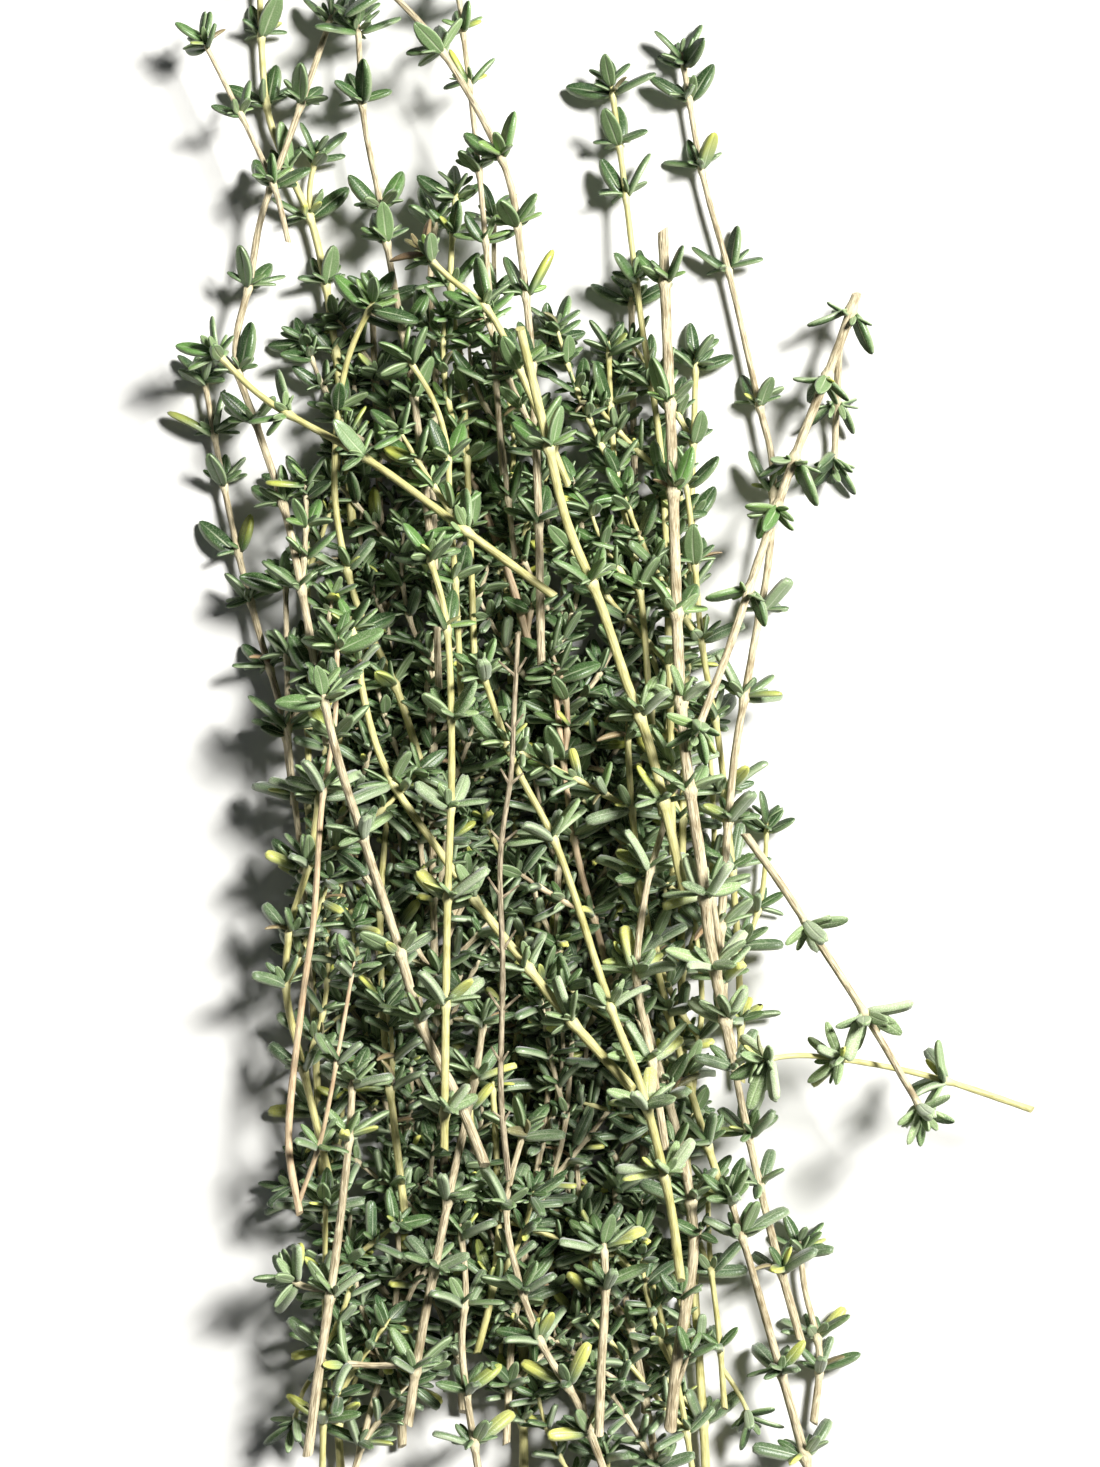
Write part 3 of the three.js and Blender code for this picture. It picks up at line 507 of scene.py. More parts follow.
stems = []
for s in SPRIGS:
    whorls = whorl_distances(s["line"], s["whorls"], s["trimmed"], s["bare"])
    s["stems"] = [Stem(s, s["line"], s["base"], s["end"], whorls)]
    if s["fork"]:
        base, end = (s["end"] * share for share in BRANCH_WIDTHS)
        s["stems"].append(Stem(s, s["branch"], base, end, whorl_distances(s["branch"], None)))
    s["stems"] += offshoots(s, s["stems"][0])
    if s["number"] < SHADE_SPRIGS:
        for main in list(s["stems"]):
            s["stems"] += side_shoots(s, main)
    stems += s["stems"]
print(sum(len(m.whorls) for m in stems), "leaf pairs on", round(sum(m.length for m in stems), 2), "m of stem")

# %% [markdown]
# ## The leaf models
# A thyme leaf is a narrow oval, 5 to 8 mm long, thick for its size, with its edges rolled under and a groove
# along its midrib. It could be cut from a flat grid, but a leaf seen from the side needs its thickness, so
# it starts from a sphere with its poles at the base and the tip: the rings of the sphere become the widths
# of the leaf. A leaf is repeated thousands of times, so it has only a few dozen faces. Broad leaves sit on
# the young upper stems, velvety narrow ones lower down, and small ones in the tufts.

# %% Shape a leaf from a sphere
LEAF_SEGMENTS = 8
LEAF_RINGS = 8
FULL_ENDS = 0.25  # added to a ring's share of the greatest width, so that the leaf stays thick near its ends
NEAR = 1e-3  # vertices as close as this along the leaf are of one ring
ON_AXIS = 1e-4


def pick(obj, wanted):
    """In edit mode, selects the vertices whose place passes the test."""
    bpy.ops.mesh.select_all(action="DESELECT")
    bpy.ops.object.mode_set(mode="OBJECT")
    for v in obj.data.vertices:
        v.select = bool(wanted(v.co))
    bpy.ops.object.mode_set(mode="EDIT")


def model_leaf(name, widths, thickness, groove, roll, droop):
    """A leaf 1 long from the origin along +Y, face up. widths: its rings' half widths, from base to tip."""
    bpy.ops.object.select_all(action="DESELECT")
    bpy.ops.mesh.primitive_uv_sphere_add(
        segments=LEAF_SEGMENTS, ring_count=LEAF_RINGS, radius=0.5, location=(0, 0.5, 0),
        rotation=(math.pi / 2, 0, 0),
    )
    leaf = bpy.context.object
    leaf.name = name
    bpy.ops.object.transform_apply()
    bpy.ops.object.mode_set(mode="EDIT")
    bpy.ops.mesh.select_mode(type="VERT")
    rings = sorted({round(v.co.y, 4) for v in leaf.data.vertices})[1:-1]
    for y, half_width in zip(rings, widths):
        radius = 0.5 * math.sin(math.acos(1 - 2 * y))
        high = thickness * min(1, half_width / max(widths) + FULL_ENDS)
        pick(leaf, lambda co: abs(co.y - y) < NEAR)
        bpy.ops.transform.resize(value=(half_width / radius, 1, high / radius))
        pick(leaf, lambda co: abs(co.y - y) < NEAR and abs(co.x) < ON_AXIS and co.z > 0)
        bpy.ops.transform.translate(value=(0, 0, -groove * high))
        pick(leaf, lambda co: abs(co.y - y) < NEAR and abs(co.z) < ON_AXIS)
        bpy.ops.transform.translate(value=(0, 0, -roll * high))
        pick(leaf, lambda co: abs(co.y - y) < NEAR and abs(co.x) < ON_AXIS and co.z < 0)
        bpy.ops.transform.translate(value=(0, 0, roll * high))
        pick(leaf, lambda co: abs(co.y - y) < NEAR)
        bpy.ops.transform.translate(value=(0, 0, -droop * y * y))
    pick(leaf, lambda co: co.y > 0.99)
    bpy.ops.transform.translate(value=(0, 0, -droop))
    bpy.ops.object.mode_set(mode="OBJECT")
    bpy.ops.object.shade_smooth()
    return leaf


LEAF_MODELS = {
    "broad": model_leaf(
        "broad_leaf", [0.065, 0.135, 0.185, 0.2, 0.178, 0.124, 0.058],
        thickness=0.1, groove=1.0, roll=0.6, droop=0.04,
    ),
    "narrow": model_leaf(
        "narrow_leaf", [0.055, 0.1, 0.13, 0.145, 0.148, 0.134, 0.09],
        thickness=0.12, groove=0.6, roll=0.4, droop=0.05,
    ),
    "tuft": model_leaf(
        "tuft_leaf", [0.06, 0.11, 0.15, 0.164, 0.15, 0.114, 0.06],
        thickness=0.1, groove=0.85, roll=0.5, droop=0.03,
    ),
}
for kind, leaf in LEAF_MODELS.items():
    print(kind, "leaf:", len(leaf.data.polygons), "faces")


# %% Keep each leaf model as arrays, so that copies can be bent before they are joined
UNDER_SIDE = -0.2  # a normal that points down more than this is on the under side


class LeafModel:
    """A leaf's vertices and faces, and each vertex's share across, share along and 1 on the under side."""

    def __init__(self, leaf):
        mesh = leaf.data
        self.co = np.array([v.co for v in mesh.vertices])
        self.faces = [list(p.vertices) for p in mesh.polygons]
        x, y = self.co[:, 0], self.co[:, 1]
        half_width = np.array([np.abs(x[np.abs(y - level) < ON_AXIS]).max() for level in y])
        normals = np.array([v.normal for v in mesh.vertices])
        self.marks = np.column_stack([
            x / np.maximum(half_width, ON_AXIS) * 0.5 + 0.5,
            y,
            (normals[:, 2] < UNDER_SIDE).astype(float),
        ])


MODELS = {kind: LeafModel(leaf) for kind, leaf in LEAF_MODELS.items()}
for leaf in LEAF_MODELS.values():
    bpy.data.objects.remove(leaf)

# %% [markdown]
# ## Setting the leaves in place
# A leaf leans away from its stem, and its blade twists towards the light. Where two sprigs touch, their
# leaves push each other aside. So each leaf is tried at several leans and turns, and the first that is clear
# of the stems and of the leaves already there is kept. The uppermost sprigs come first, so that the leaves
# that show best stand as they grew, and those beneath fit round them. A leaf that finds no room is made
# smaller.

# %% Room for a leaf
STEM_POINT_SPACING = 1.2 * MM
LEAF_ROOM = 0.55 * MM  # between a leaf and what is already there
FLOOR_ROOM = 0.25 * MM  # and between it and the floor


class Room:
    """Balls that stand for what is already in place, looked up by a coarse grid."""

    CELL = 8 * MM
    NEARBY = 10 * MM

    def __init__(self):
        self.cells = {}

    def key(self, p):
        return tuple(int(c // self.CELL) for c in p)

    def add(self, point, radius, owner):
        self.cells.setdefault(self.key(point), []).append((*point, radius, owner))

    def around(self, point, owner):
        """The balls near a point that aren't the owner's, as rows of x, y, z and radius."""
        i, j, k = self.key(point)
        found = [
            ball[:4]
            for a in (i - 1, i, i + 1)
            for b in (j - 1, j, j + 1)
            for c in (k - 1, k, k + 1)
            for ball in self.cells.get((a, b, c), ())
            if ball[4] != owner
        ]
        rows = np.array(found).reshape(-1, 4)
        return rows[((rows[:, :3] - point) ** 2).sum(axis=1) < self.NEARBY**2]


room = Room()
for number, stem in enumerate(stems):
    for distance in np.arange(0, stem.length, STEM_POINT_SPACING):
        point, _ = stem.at(distance)
        room.add(point, stem.base, ("stem", number))

# %% Grow one leaf
LEANS = (0, -12, 12, -24, 24, -36, 36)  # degrees away from the lean that is asked for
SIDE_TURNS = (0, 18, -18, 34, -34)
LEAST_LEAN, MOST_LEAN = 12, 92
SHRINKS = (1.0, 0.75)  # sizes that a leaf is tried at
MOST_BEND = 0.1  # to the side, as a share of the leaf's length
BALL_SHARES = np.array([0.42, 0.72, 0.97])  # along the leaf
BALL_SIZES = np.array([1, 1, 0.6])
BALL_RADIUS = 0.18  # for a leaf of length and width 1


class Leaf:
    """One leaf: its base, the directions of its blade and face, its size in metres, and its looks."""

    def __init__(self, kind, base, along, face, length, width, curl):
        self.kind, self.base, self.along, self.face = kind, base, along, face
        self.length, self.width, self.curl = length, width, curl
        self.side = np.cross(along, face)
        # a random tone of green, which set_leaf darkens low in the pile as painted shade
        self.tint, self.velvet, self.yellow, self.withered = rng.random(), 0.0, 0.0, 0.0
        self.bend = rng.uniform(-MOST_BEND, MOST_BEND)

    def balls(self):
        """Three balls that fill the leaf."""
        far = self.length * BALL_SHARES[:, None]
        centres = self.base + self.along * far - self.face * self.curl * far * BALL_SHARES[:, None]
        return zip(centres, BALL_SIZES * self.width * self.length * BALL_RADIUS)


def ways_to_lie(ahead, out, lean, face_up):
    """Directions of a leaf's blade and face, at each lean and turn. face_up turns the face to the light."""
    swing = np.radians(np.repeat(SIDE_TURNS, len(LEANS)))[:, None]
    angle = np.radians(np.clip(lean + np.tile(LEANS, len(SIDE_TURNS)), LEAST_LEAN, MOST_LEAN))[:, None]
    away = np.cos(swing) * out + np.sin(swing) * np.cross(ahead, out)
    along = np.cos(angle) * ahead + np.sin(angle) * away
    face = (np.sin(angle) * ahead - np.cos(angle) * away) * (1 - face_up) + UP * face_up
    face -= along * (face * along).sum(axis=1, keepdims=True)
    return along, face / np.linalg.norm(face, axis=1, keepdims=True)


def gaps(base, along, face, length, width, curl, near):
    """For each way to lie, the least gap between the leaf's balls and the balls near it, or the floor."""
    shares = BALL_SHARES[:, None]
    centres = base + along[:, None] * (length * shares) - face[:, None] * (curl * length * shares**2)
    radii = BALL_SIZES * width * length * BALL_RADIUS
    gap = (centres[..., 2] - radii - FLOOR_ROOM + LEAF_ROOM).min(axis=1)
    if len(near):
        off = np.sqrt(((centres[:, :, None] - near[:, :3]) ** 2).sum(axis=3)) - near[:, 3] - radii[:, None]
        gap = np.minimum(gap, off.min(axis=(1, 2)))
    return gap


def grow_leaf(kind, base, ahead, out, lean, length, width, owner, face_up, curl=0.06):
    """Tries a leaf at several leans and turns, and keeps the first with room, or else the one with most."""
    near = room.around(base, owner)
    along, face = ways_to_lie(ahead, out, lean, face_up)
    best = None
    for shrink in SHRINKS:
        gap = gaps(base, along, face, length * shrink, width, curl, near)
        roomy = np.flatnonzero(gap > LEAF_ROOM)
        chosen = roomy[0] if len(roomy) else gap.argmax()
        if best is None or gap[chosen] > best[0]:
            best = gap[chosen], chosen, shrink
        if len(roomy):
            break
    gap, chosen, shrink = best
    return Leaf(kind, base, along[chosen], face[chosen], length * shrink, width, curl), gap


# %% [markdown]
# ## Whorls
# A whorl is a pair of leaves and the tufts in their corners. Near the foot of the bundle the tufts are
# nearly as big as the leaves, and the whorl is a thick rosette. Near its top a tuft is three or four small
# leaves.

# %% Grow the whorls
LEAF_LENGTH = 7.5 * MM
YOUNG_FROM = 40 * MM  # along the bundle: sprigs beyond it have young broad leaves
VELVET_FROM = -15 * MM  # and those before it have velvety ones
VELVET_SPREAD = 12  # mm, how far a whorl may stray from that rule
SHADE_HEIGHT, LIGHT_HEIGHT = 4 * MM, 18 * MM  # painted shade: leaves lower in the pile are painted a deeper green
FOOT_SHADE = 9 * MM  # and the painted shade is that much deeper near the foot, where the pile is closest
TIGHTEST = -0.6 * MM  # a leaf squeezed more than this is left out
SLIM_STEM = 0.55 * MM  # stems of a smaller radius at the base have smaller leaves
WITHERED_TIPS = ("curling_tip_sprig",)
WITHERED_SHARE = 0.025  # of the tuft leaves
WITHERED_NARROWER, WITHERED_CURL = 0.45, 0.5
SHADED = 0.2  # what leaves in painted shade keep of their tone and velvet, and slim stems' leaves of their velvet, as painted shade
PAIR_SIZES = (0.88, 1.2)  # of LEAF_LENGTH
PAIR_WIDTHS = (0.9, 1.1)  # of the leaf model's width
PAIR_LEANS = {"broad": (22, 48), "narrow": (36, 68)}  # degrees away from the stem
PAIR_YELLOW = 0.03, 0.12  # the share of leaves that turn yellow, and what velvet adds to it
SLIM_PAIR, SLIM_TUFT = 0.8, 0.85  # sizes on a slim stem
SET_OUT = 0.75, 0.8  # of the stem's radius: how far from its axis pairs and tufts start
PAIR_FACE_UP = 0.7  # the most that a leaf's face is turned up to the light
PAIR_CURL = (-0.06, 0.14)
VELVET_CURL = 0.12  # what velvet adds to the greatest curl


def share_between(value, low, high):
    """0 at low, 1 at high, and even between."""
    return min(max((value - low) / (high - low), 0), 1)


def set_leaf(leaves, kind, *args, velvet=0.0, yellow=0.0, withered=0.0, **more):
    """Grows a leaf, gives it its looks with painted shade low in the pile, and keeps it if it has room. A
    withered one shrivels and curls.
    """
    leaf, gap = grow_leaf(kind, *args, **more)
    if gap < TIGHTEST:
        return
    leaf.yellow, leaf.withered = yellow, withered
    leaf.width *= 1 - WITHERED_NARROWER * withered
    leaf.curl += WITHERED_CURL * withered
    # painted shade: the lower a leaf lies in the pile, and the nearer the foot, the darker its tone and the
    # less pale velvet it shows
    height = leaf.base[2] - FOOT_SHADE * (1 - share_between(leaf.base[1], VELVET_FROM, YOUNG_FROM))
    light = share_between(height, SHADE_HEIGHT, LIGHT_HEIGHT) * (1 - SHADED) + SHADED
    leaf.tint *= light
    leaf.velvet = velvet * light
    for point, radius in leaf.balls():
        room.add(point, radius, None)
    leaves.append(leaf)


def grow_whorl(stem, distance, index, leaves, owner):
    """One leaf pair with its tufts."""
    at, ahead = stem.at(distance)
    radius = np.interp(distance, [0, stem.length], [stem.base, stem.end])
    strayed = at[1] + rng.uniform(-VELVET_SPREAD, VELVET_SPREAD) * MM
    velvet = 1 - share_between(strayed, VELVET_FROM, YOUNG_FROM)
    kind = "narrow" if rng.random() < velvet else "broad"
    turn = stem.turn + math.pi / 4 + (index % 2) * math.pi / 2
    slim = stem.base < SLIM_STEM
    # slim side shoots lie deep in the pile, so their leaves lose pale velvet too: painted shade
    velvet *= SHADED if slim else 1
    for half in (0, 1):
        out = stem.across(ahead, turn + half * math.pi + rng.uniform(-0.25, 0.25))
        base = at + out * radius * SET_OUT[0]
        size = LEAF_LENGTH * rng.uniform(*PAIR_SIZES) * (SLIM_PAIR if slim else 1)
        yellow = rng.uniform(0.5, 1) if rng.random() < PAIR_YELLOW[0] + PAIR_YELLOW[1] * velvet else 0
        lean = rng.uniform(*PAIR_LEANS[kind])
        set_leaf(
            leaves, kind, base, ahead, out, lean, size, rng.uniform(*PAIR_WIDTHS), owner,
            face_up=rng.uniform(0, PAIR_FACE_UP),
            curl=rng.uniform(PAIR_CURL[0], PAIR_CURL[1] + VELVET_CURL * velvet), velvet=velvet, yellow=yellow,
        )
        grow_tuft(at, ahead, out, radius, velvet, slim, leaves, owner)


TUFT_SWINGS = (-1, 1, 0, -0.6, 0.6)  # to the sides, for each leaf of a tuft
TUFT_WIDTHS = (0.85, 1.1)
TUFT_LEANS = (18, 48)
TUFT_YELLOW = 0.02, 0.05
TUFT_FACE_UP = 0.5
TUFT_VELVET = 0.85  # of the pair's velvet
TUFT_SHOOT = 0.5  # radians between the stem and the tiny shoot that carries the tuft
TUFT_UP = 0.7 * MM  # from the leaf pair to the tuft's foot


def grow_tuft(at, ahead, out, radius, velvet, slim, leaves, owner):
    """The small leaves in the corner between a leaf and its stem."""
    if slim:
        count = 2 if at[1] < VELVET_FROM else 3
    else:
        count = rng.choice((3, 3, 4)) + (1 if rng.random() < velvet else 0)
    base = at + out * radius * SET_OUT[1] + ahead * TUFT_UP
    shoot = unit(ahead * math.cos(TUFT_SHOOT) + out * math.sin(TUFT_SHOOT))
    side = np.cross(ahead, out)
    for k in range(count):
        swing = TUFT_SWINGS[k] * rng.uniform(0.8, 1.2)
        away = unit(side * swing + out * (0.35 if k < 2 else 0.8))
        share = rng.uniform(0.52 + 0.08 * velvet, 0.82 + 0.2 * velvet)
        size = LEAF_LENGTH * share * (SLIM_TUFT if slim else 1)
        lean, width = rng.uniform(*TUFT_LEANS), rng.uniform(*TUFT_WIDTHS)
        set_leaf(
            leaves, "tuft", base, shoot, away, lean, size, width, owner,
            face_up=rng.uniform(0, TUFT_FACE_UP), velvet=velvet * TUFT_VELVET,
            yellow=rng.uniform(0.3, 0.9) if rng.random() < TUFT_YELLOW[0] + TUFT_YELLOW[1] * velvet else 0,
            withered=rng.uniform(0.5, 1) if rng.random() < WITHERED_SHARE else 0,
        )


TIP_PAIRS = ((1.6, 0.85, 32), (0.5, 0.6, 16))  # mm back from the tip, share of LEAF_LENGTH, lean in degrees
TIP_SET_OUT = 0.4
TIP_VELVET = 0.7


def grow_tip(stem, leaves, owner):
    """The growing point: two small pairs that close over it."""
    for index, (back, size, lean) in enumerate(TIP_PAIRS):
        at, ahead = stem.at(stem.length - back * MM)
        turn = stem.turn + math.pi / 4 + ((len(stem.whorls) + index) % 2) * math.pi / 2
        velvet = 1 - share_between(at[1], VELVET_FROM, YOUNG_FROM)
        for half in (0, 1):
            out = stem.across(ahead, turn + half * math.pi)
            set_leaf(
                leaves, "tuft" if index else "broad", at + out * stem.end * TIP_SET_OUT, ahead, out, lean,
                LEAF_LENGTH * size * rng.uniform(0.85, 1.1), 1.0, owner, face_up=rng.uniform(0.1, 0.6),
                velvet=velvet * TIP_VELVET,
                withered=rng.uniform(0.6, 1) if stem.sprig["name"] in WITHERED_TIPS else 0,
            )


for number in reversed(range(len(stems))):
    stem = stems[number]
    leaves = stem.sprig.setdefault("leaves", [])
    owner = ("stem", number)
    if not stem.sprig["bare"] and not stem.sprig["trimmed"]:
        grow_tip(stem, leaves, owner)
    for index, distance in reversed(list(enumerate(stem.whorls))):
        grow_whorl(stem, distance, index, leaves, owner)
print(sum(len(s["leaves"]) for s in SPRIGS), "leaves")

# %% [markdown]
# ## Leaf pieces
# All the leaves of a sprig are joined into one mesh, each with its own bend. Each vertex keeps its place on
# its leaf (across, along, upper or under side), its leaf's tone and velvet with their painted shade, and its
# yellowing and withering, for the material.

# %% Join the leaves of each sprig
LEAF_FLOOR = 0.05 * MM  # the lowest that a leaf's skin lies


def leaf_piece(name, leaves):
    """One mesh of all these leaves."""
    places, faces, marks, looks = [], [], [], []
    first = 0
    for leaf in leaves:
        model = MODELS[leaf.kind]
        co = model.co * (leaf.length * leaf.width, leaf.length, leaf.length)
        lowered = co[:, 2] - leaf.curl * leaf.length * model.co[:, 1] ** 2
        aside = co[:, 0] + leaf.bend * leaf.length * model.co[:, 1] ** 2
        place = leaf.base + np.outer(aside, leaf.side) + np.outer(co[:, 1], leaf.along)
        place += np.outer(lowered, leaf.face)
        place[:, 2] = np.maximum(place[:, 2], LEAF_FLOOR)
        places.append(place)
        faces += [[v + first for v in face] for face in model.faces]
        first += len(co)
        # the fourth mark is the leaf's tone, with its painted shade
        marks.append(np.column_stack([model.marks, np.full(len(co), leaf.tint)]))
        looks.append(np.tile([leaf.velvet, leaf.yellow, leaf.withered], (len(co), 1)))
    mesh = bpy.data.meshes.new(name)
    mesh.from_pydata(np.vstack(places).tolist(), [], faces)
    leaf_place = mesh.attributes.new("leaf_place", "FLOAT_COLOR", "POINT")
    leaf_place.data.foreach_set("color", np.vstack(marks).ravel())
    leaf_look = mesh.attributes.new("leaf_look", "FLOAT_VECTOR", "POINT")
    leaf_look.data.foreach_set("vector", np.vstack(looks).ravel())
    mesh.shade_smooth()
    piece = bpy.data.objects.new(name, mesh)
    bpy.context.collection.objects.link(piece)
    return piece


for s in SPRIGS:
    s["leaf_piece"] = leaf_piece(s["name"] + "_leaves", s["leaves"]) if s["leaves"] else None

# %% [markdown]
# ## Stems
# A thyme stem is square with rounded corners, thicker just where the leaves sit. It could be extruded ring
# by ring, but it follows a long curve, so it is drawn as a path with a rounded square as its profile. Each
# point of the path has its own radius, which tapers the stem and swells it at the leaf pairs. The path then
# becomes a mesh.

# %% The profile that all stems share
SQUARENESS = 1.3  # how far the handles of a circle are drawn out towards a square
PROFILE_PARTS = 3  # faces on each quarter of a stem
AROUND = 4 * PROFILE_PARTS

bpy.ops.object.select_all(action="DESELECT")
bpy.ops.curve.primitive_bezier_circle_add(radius=1)
profile = bpy.context.object
profile.name = "stem_profile"
profile.data.resolution_u = PROFILE_PARTS
for point in profile.data.splines[0].bezier_points:
    point.handle_left_type = point.handle_right_type = "FREE"
    point.handle_left = point.co + (point.handle_left - point.co) * SQUARENESS
    point.handle_right = point.co + (point.handle_right - point.co) * SQUARENESS

# %% Draw one stem and turn it into a mesh
RING_SPACING = 1.5 * MM
NODE_SWELL = 0.42
NODE_LENGTH = 0.8 * MM
NODE_RINGS = (-1.4 * MM, -0.6 * MM, 0.1 * MM, 0.9 * MM)
TIP_TAPER = 4 * MM
UNEVEN = 0.06  # how much a stem's thickness wanders
WAVES = 900, 370  # radians per metre of the two waves that it wanders by
TIP_WIDTH = 0.45  # of the stem's width just before its taper
ROUNDED_BELOW = math.radians(50)  # faces that meet at more than this keep a sharp edge


def ring_distances(stem):
    """Where the rings of a stem's mesh are: even, with more at the leaf pairs."""
    wanted = list(np.arange(0, stem.length, RING_SPACING)) + [stem.length]
    wanted += [w + d for w in stem.whorls for d in NODE_RINGS]
    kept = [0.0]
    for distance in sorted(w for w in wanted if 0 < w <= stem.length):
        if distance - kept[-1] > RING_SPACING / 4:
            kept.append(distance)
    return kept


def node_nearness(stem, distance):
    """1 at a leaf pair, falling to 0 away from it."""
    return max([math.exp(-(((distance - w) / NODE_LENGTH) ** 2)) for w in stem.whorls], default=0)


def stem_radius(stem, distance):
    """The stem's half width, with its taper, its swellings and its unevenness."""
    radius = stem.base + (stem.end - stem.base) * distance / stem.length
    radius *= 1 + NODE_SWELL * node_nearness(stem, distance)
    short_wave = math.sin(distance * WAVES[0] + stem.turn)
    radius *= 1 + UNEVEN * short_wave * math.sin(distance * WAVES[1] + 2 * stem.turn)
    if not stem.sprig["trimmed"] and not stem.sprig["bare"]:
        radius *= min(1, TIP_WIDTH + (1 - TIP_WIDTH) * (stem.length - distance) / TIP_TAPER)
    return radius


def stem_mesh(stem, name):
    """A stem as a mesh object, with the straightened stem's coordinates kept on it for its bark."""
    rings = ring_distances(stem)
    curve = bpy.data.curves.new(name, "CURVE")
    curve.dimensions = "3D"
    curve.twist_mode = "Z_UP"
    curve.bevel_mode = "OBJECT"
    curve.bevel_object = profile
    spline = curve.splines.new("POLY")
    spline.points.add(len(rings) - 1)
    axis = [stem.at(distance) for distance in rings]
    for point, distance, (place, _) in zip(spline.points, rings, axis):
        point.co = (*place, 1)
        point.radius = stem_radius(stem, distance)
        point.tilt = stem.turn
    piece = bpy.data.objects.new(name, curve)
    bpy.context.collection.objects.link(piece)
    activate(piece)
    bpy.ops.object.convert(target="MESH")
    piece = bpy.context.object
    mark_stem(piece, stem, rings, axis)
    close_end(piece, stem, 0, axis[0], True)
    close_end(piece, stem, len(rings) - 1, axis[-1], stem.sprig["trimmed"] or stem.sprig["bare"])
    bpy.ops.object.shade_smooth_by_angle(angle=ROUNDED_BELOW)
    return piece


BARK_SHIFT = 0.01  # m for each radian of a stem's turn, so that no two stems have the same bark


def mark_stem(piece, stem, rings, axis):
    """Keeps each vertex's place on the straightened stem, and how near a leaf pair it is."""
    co = np.array([v.co for v in piece.data.vertices])
    straight = np.zeros((len(co), 3))
    near = np.zeros(len(co))
    for ring, (distance, (place, ahead)) in enumerate(zip(rings, axis)):
        rows = slice(ring * AROUND, (ring + 1) * AROUND)
        side = unit(np.cross(ahead, UP))
        off = co[rows] - place
        up = np.cross(side, ahead)
        straight[rows] = np.column_stack([off @ side, np.full(AROUND, distance), off @ up])
        near[rows] = node_nearness(stem, distance)
    straight += (stem.turn * BARK_SHIFT, 0, 0)
    attributes = piece.data.attributes
    attributes.new("straight_stem", "FLOAT_VECTOR", "POINT").data.foreach_set("vector", straight.ravel())
    attributes.new("leaf_node", "FLOAT", "POINT").data.foreach_set("value", near)


CUT_SLANT = 0.6  # a rise of 0.6 for each 1 across
RIM = 0.22  # the share of the radius that is bark
WOOD_SLOT = 1  # after the bark's


def close_end(piece, stem, ring, end, cut):
    """Closes an end. A cut one is slanted as a knife leaves it, and its wood is set off from the bark."""
    place, ahead = end
    mesh = piece.data
    activate(piece)
    bpy.ops.object.mode_set(mode="EDIT")
    bpy.ops.mesh.select_mode(type="VERT")
    bpy.ops.mesh.select_all(action="DESELECT")
    bpy.ops.object.mode_set(mode="OBJECT")
    slope = stem.across(ahead, stem.turn * 3)  # so each cut slants its own way
    for v in mesh.vertices[ring * AROUND:(ring + 1) * AROUND]:
        v.select = True
        if cut:
            v.co = np.array(v.co) + ahead * ((np.array(v.co) - place) @ slope) * CUT_SLANT
    bpy.ops.object.mode_set(mode="EDIT")
    bpy.ops.mesh.edge_face_add()
    if cut:
        bpy.ops.mesh.inset(thickness=stem_radius(stem, stem.length if ring else 0) * RIM)
    bpy.ops.object.mode_set(mode="OBJECT")
    for p in mesh.polygons:
        if cut and p.select and len(p.vertices) > 4:
            p.material_index = WOOD_SLOT


# %% Make the stems
for s in SPRIGS:
    drawn = [stem_mesh(stem, s["name"] + "_stem") for stem in s["stems"]]
    activate(drawn[0])
    for side in drawn[1:]:
        side.select_set(True)
    if len(drawn) > 1:
        bpy.ops.object.join()
    s["stem_piece"] = drawn[0]
bpy.data.objects.remove(profile)
print(sum(len(s["stem_piece"].data.polygons) for s in SPRIGS), "faces of stem")

# %% [markdown]
# ## Building materials
# Materials are made of nodes. A few small helpers keep that short: one places a node and fills its inputs,
# others make a sum, a mix or a noise, and the last one starts a material. An effect that materials share is
# a node group.

# %% Node helpers
def node(tree, kind, inputs=None, **settings):
    """Places a shader node. An input is a plain value, or a socket to link from."""
    made = tree.nodes.new("ShaderNode" + kind)
    for key, value in settings.items():
        setattr(made, key, value)
    for key, value in (inputs or {}).items():
        if isinstance(value, bpy.types.NodeSocket):
            tree.links.new(value, made.inputs[key])
        else:
            made.inputs[key].default_value = value
    return made


def calc(tree, operation, a, b=0.0, c=0.0, clamp=False):
    """The result of a Math node."""
    return node(tree, "Math", {0: a, 1: b, 2: c}, operation=operation, use_clamp=clamp).outputs[0]


def ramp(tree, value, low, high, to_low=0.0, to_high=1.0):
    """A value's smooth passage from low to high."""
    inputs = {"Value": value, "From Min": low, "From Max": high, "To Min": to_low, "To Max": to_high}
    return node(tree, "MapRange", inputs, interpolation_type="SMOOTHSTEP").outputs[0]


def blend(tree, share, first, second):
    """A mix of two colours."""
    mixed = node(tree, "Mix", {"Factor": share}, data_type="RGBA")
    for socket, value in ((mixed.inputs[6], first), (mixed.inputs[7], second)):
        if isinstance(value, bpy.types.NodeSocket):
            tree.links.new(value, socket)
        else:
            socket.default_value = value
    return mixed.outputs[2]


def noise(tree, vector, scale, detail=2.0, rough=0.5):
    """The strength of a noise texture."""
    inputs = {"Vector": vector, "Scale": scale, "Detail": detail, "Roughness": rough}
    return node(tree, "TexNoise", inputs).outputs["Fac"]


def srgb(code):
    """A colour given as the six digits of a paint code, in the linear values that a shader needs."""
    parts = [int(code[i:i + 2], 16) / 255 for i in (0, 2, 4)]
    return (*[c / 12.92 if c <= 0.04045 else ((c + 0.055) / 1.055) ** 2.4 for c in parts], 1.0)


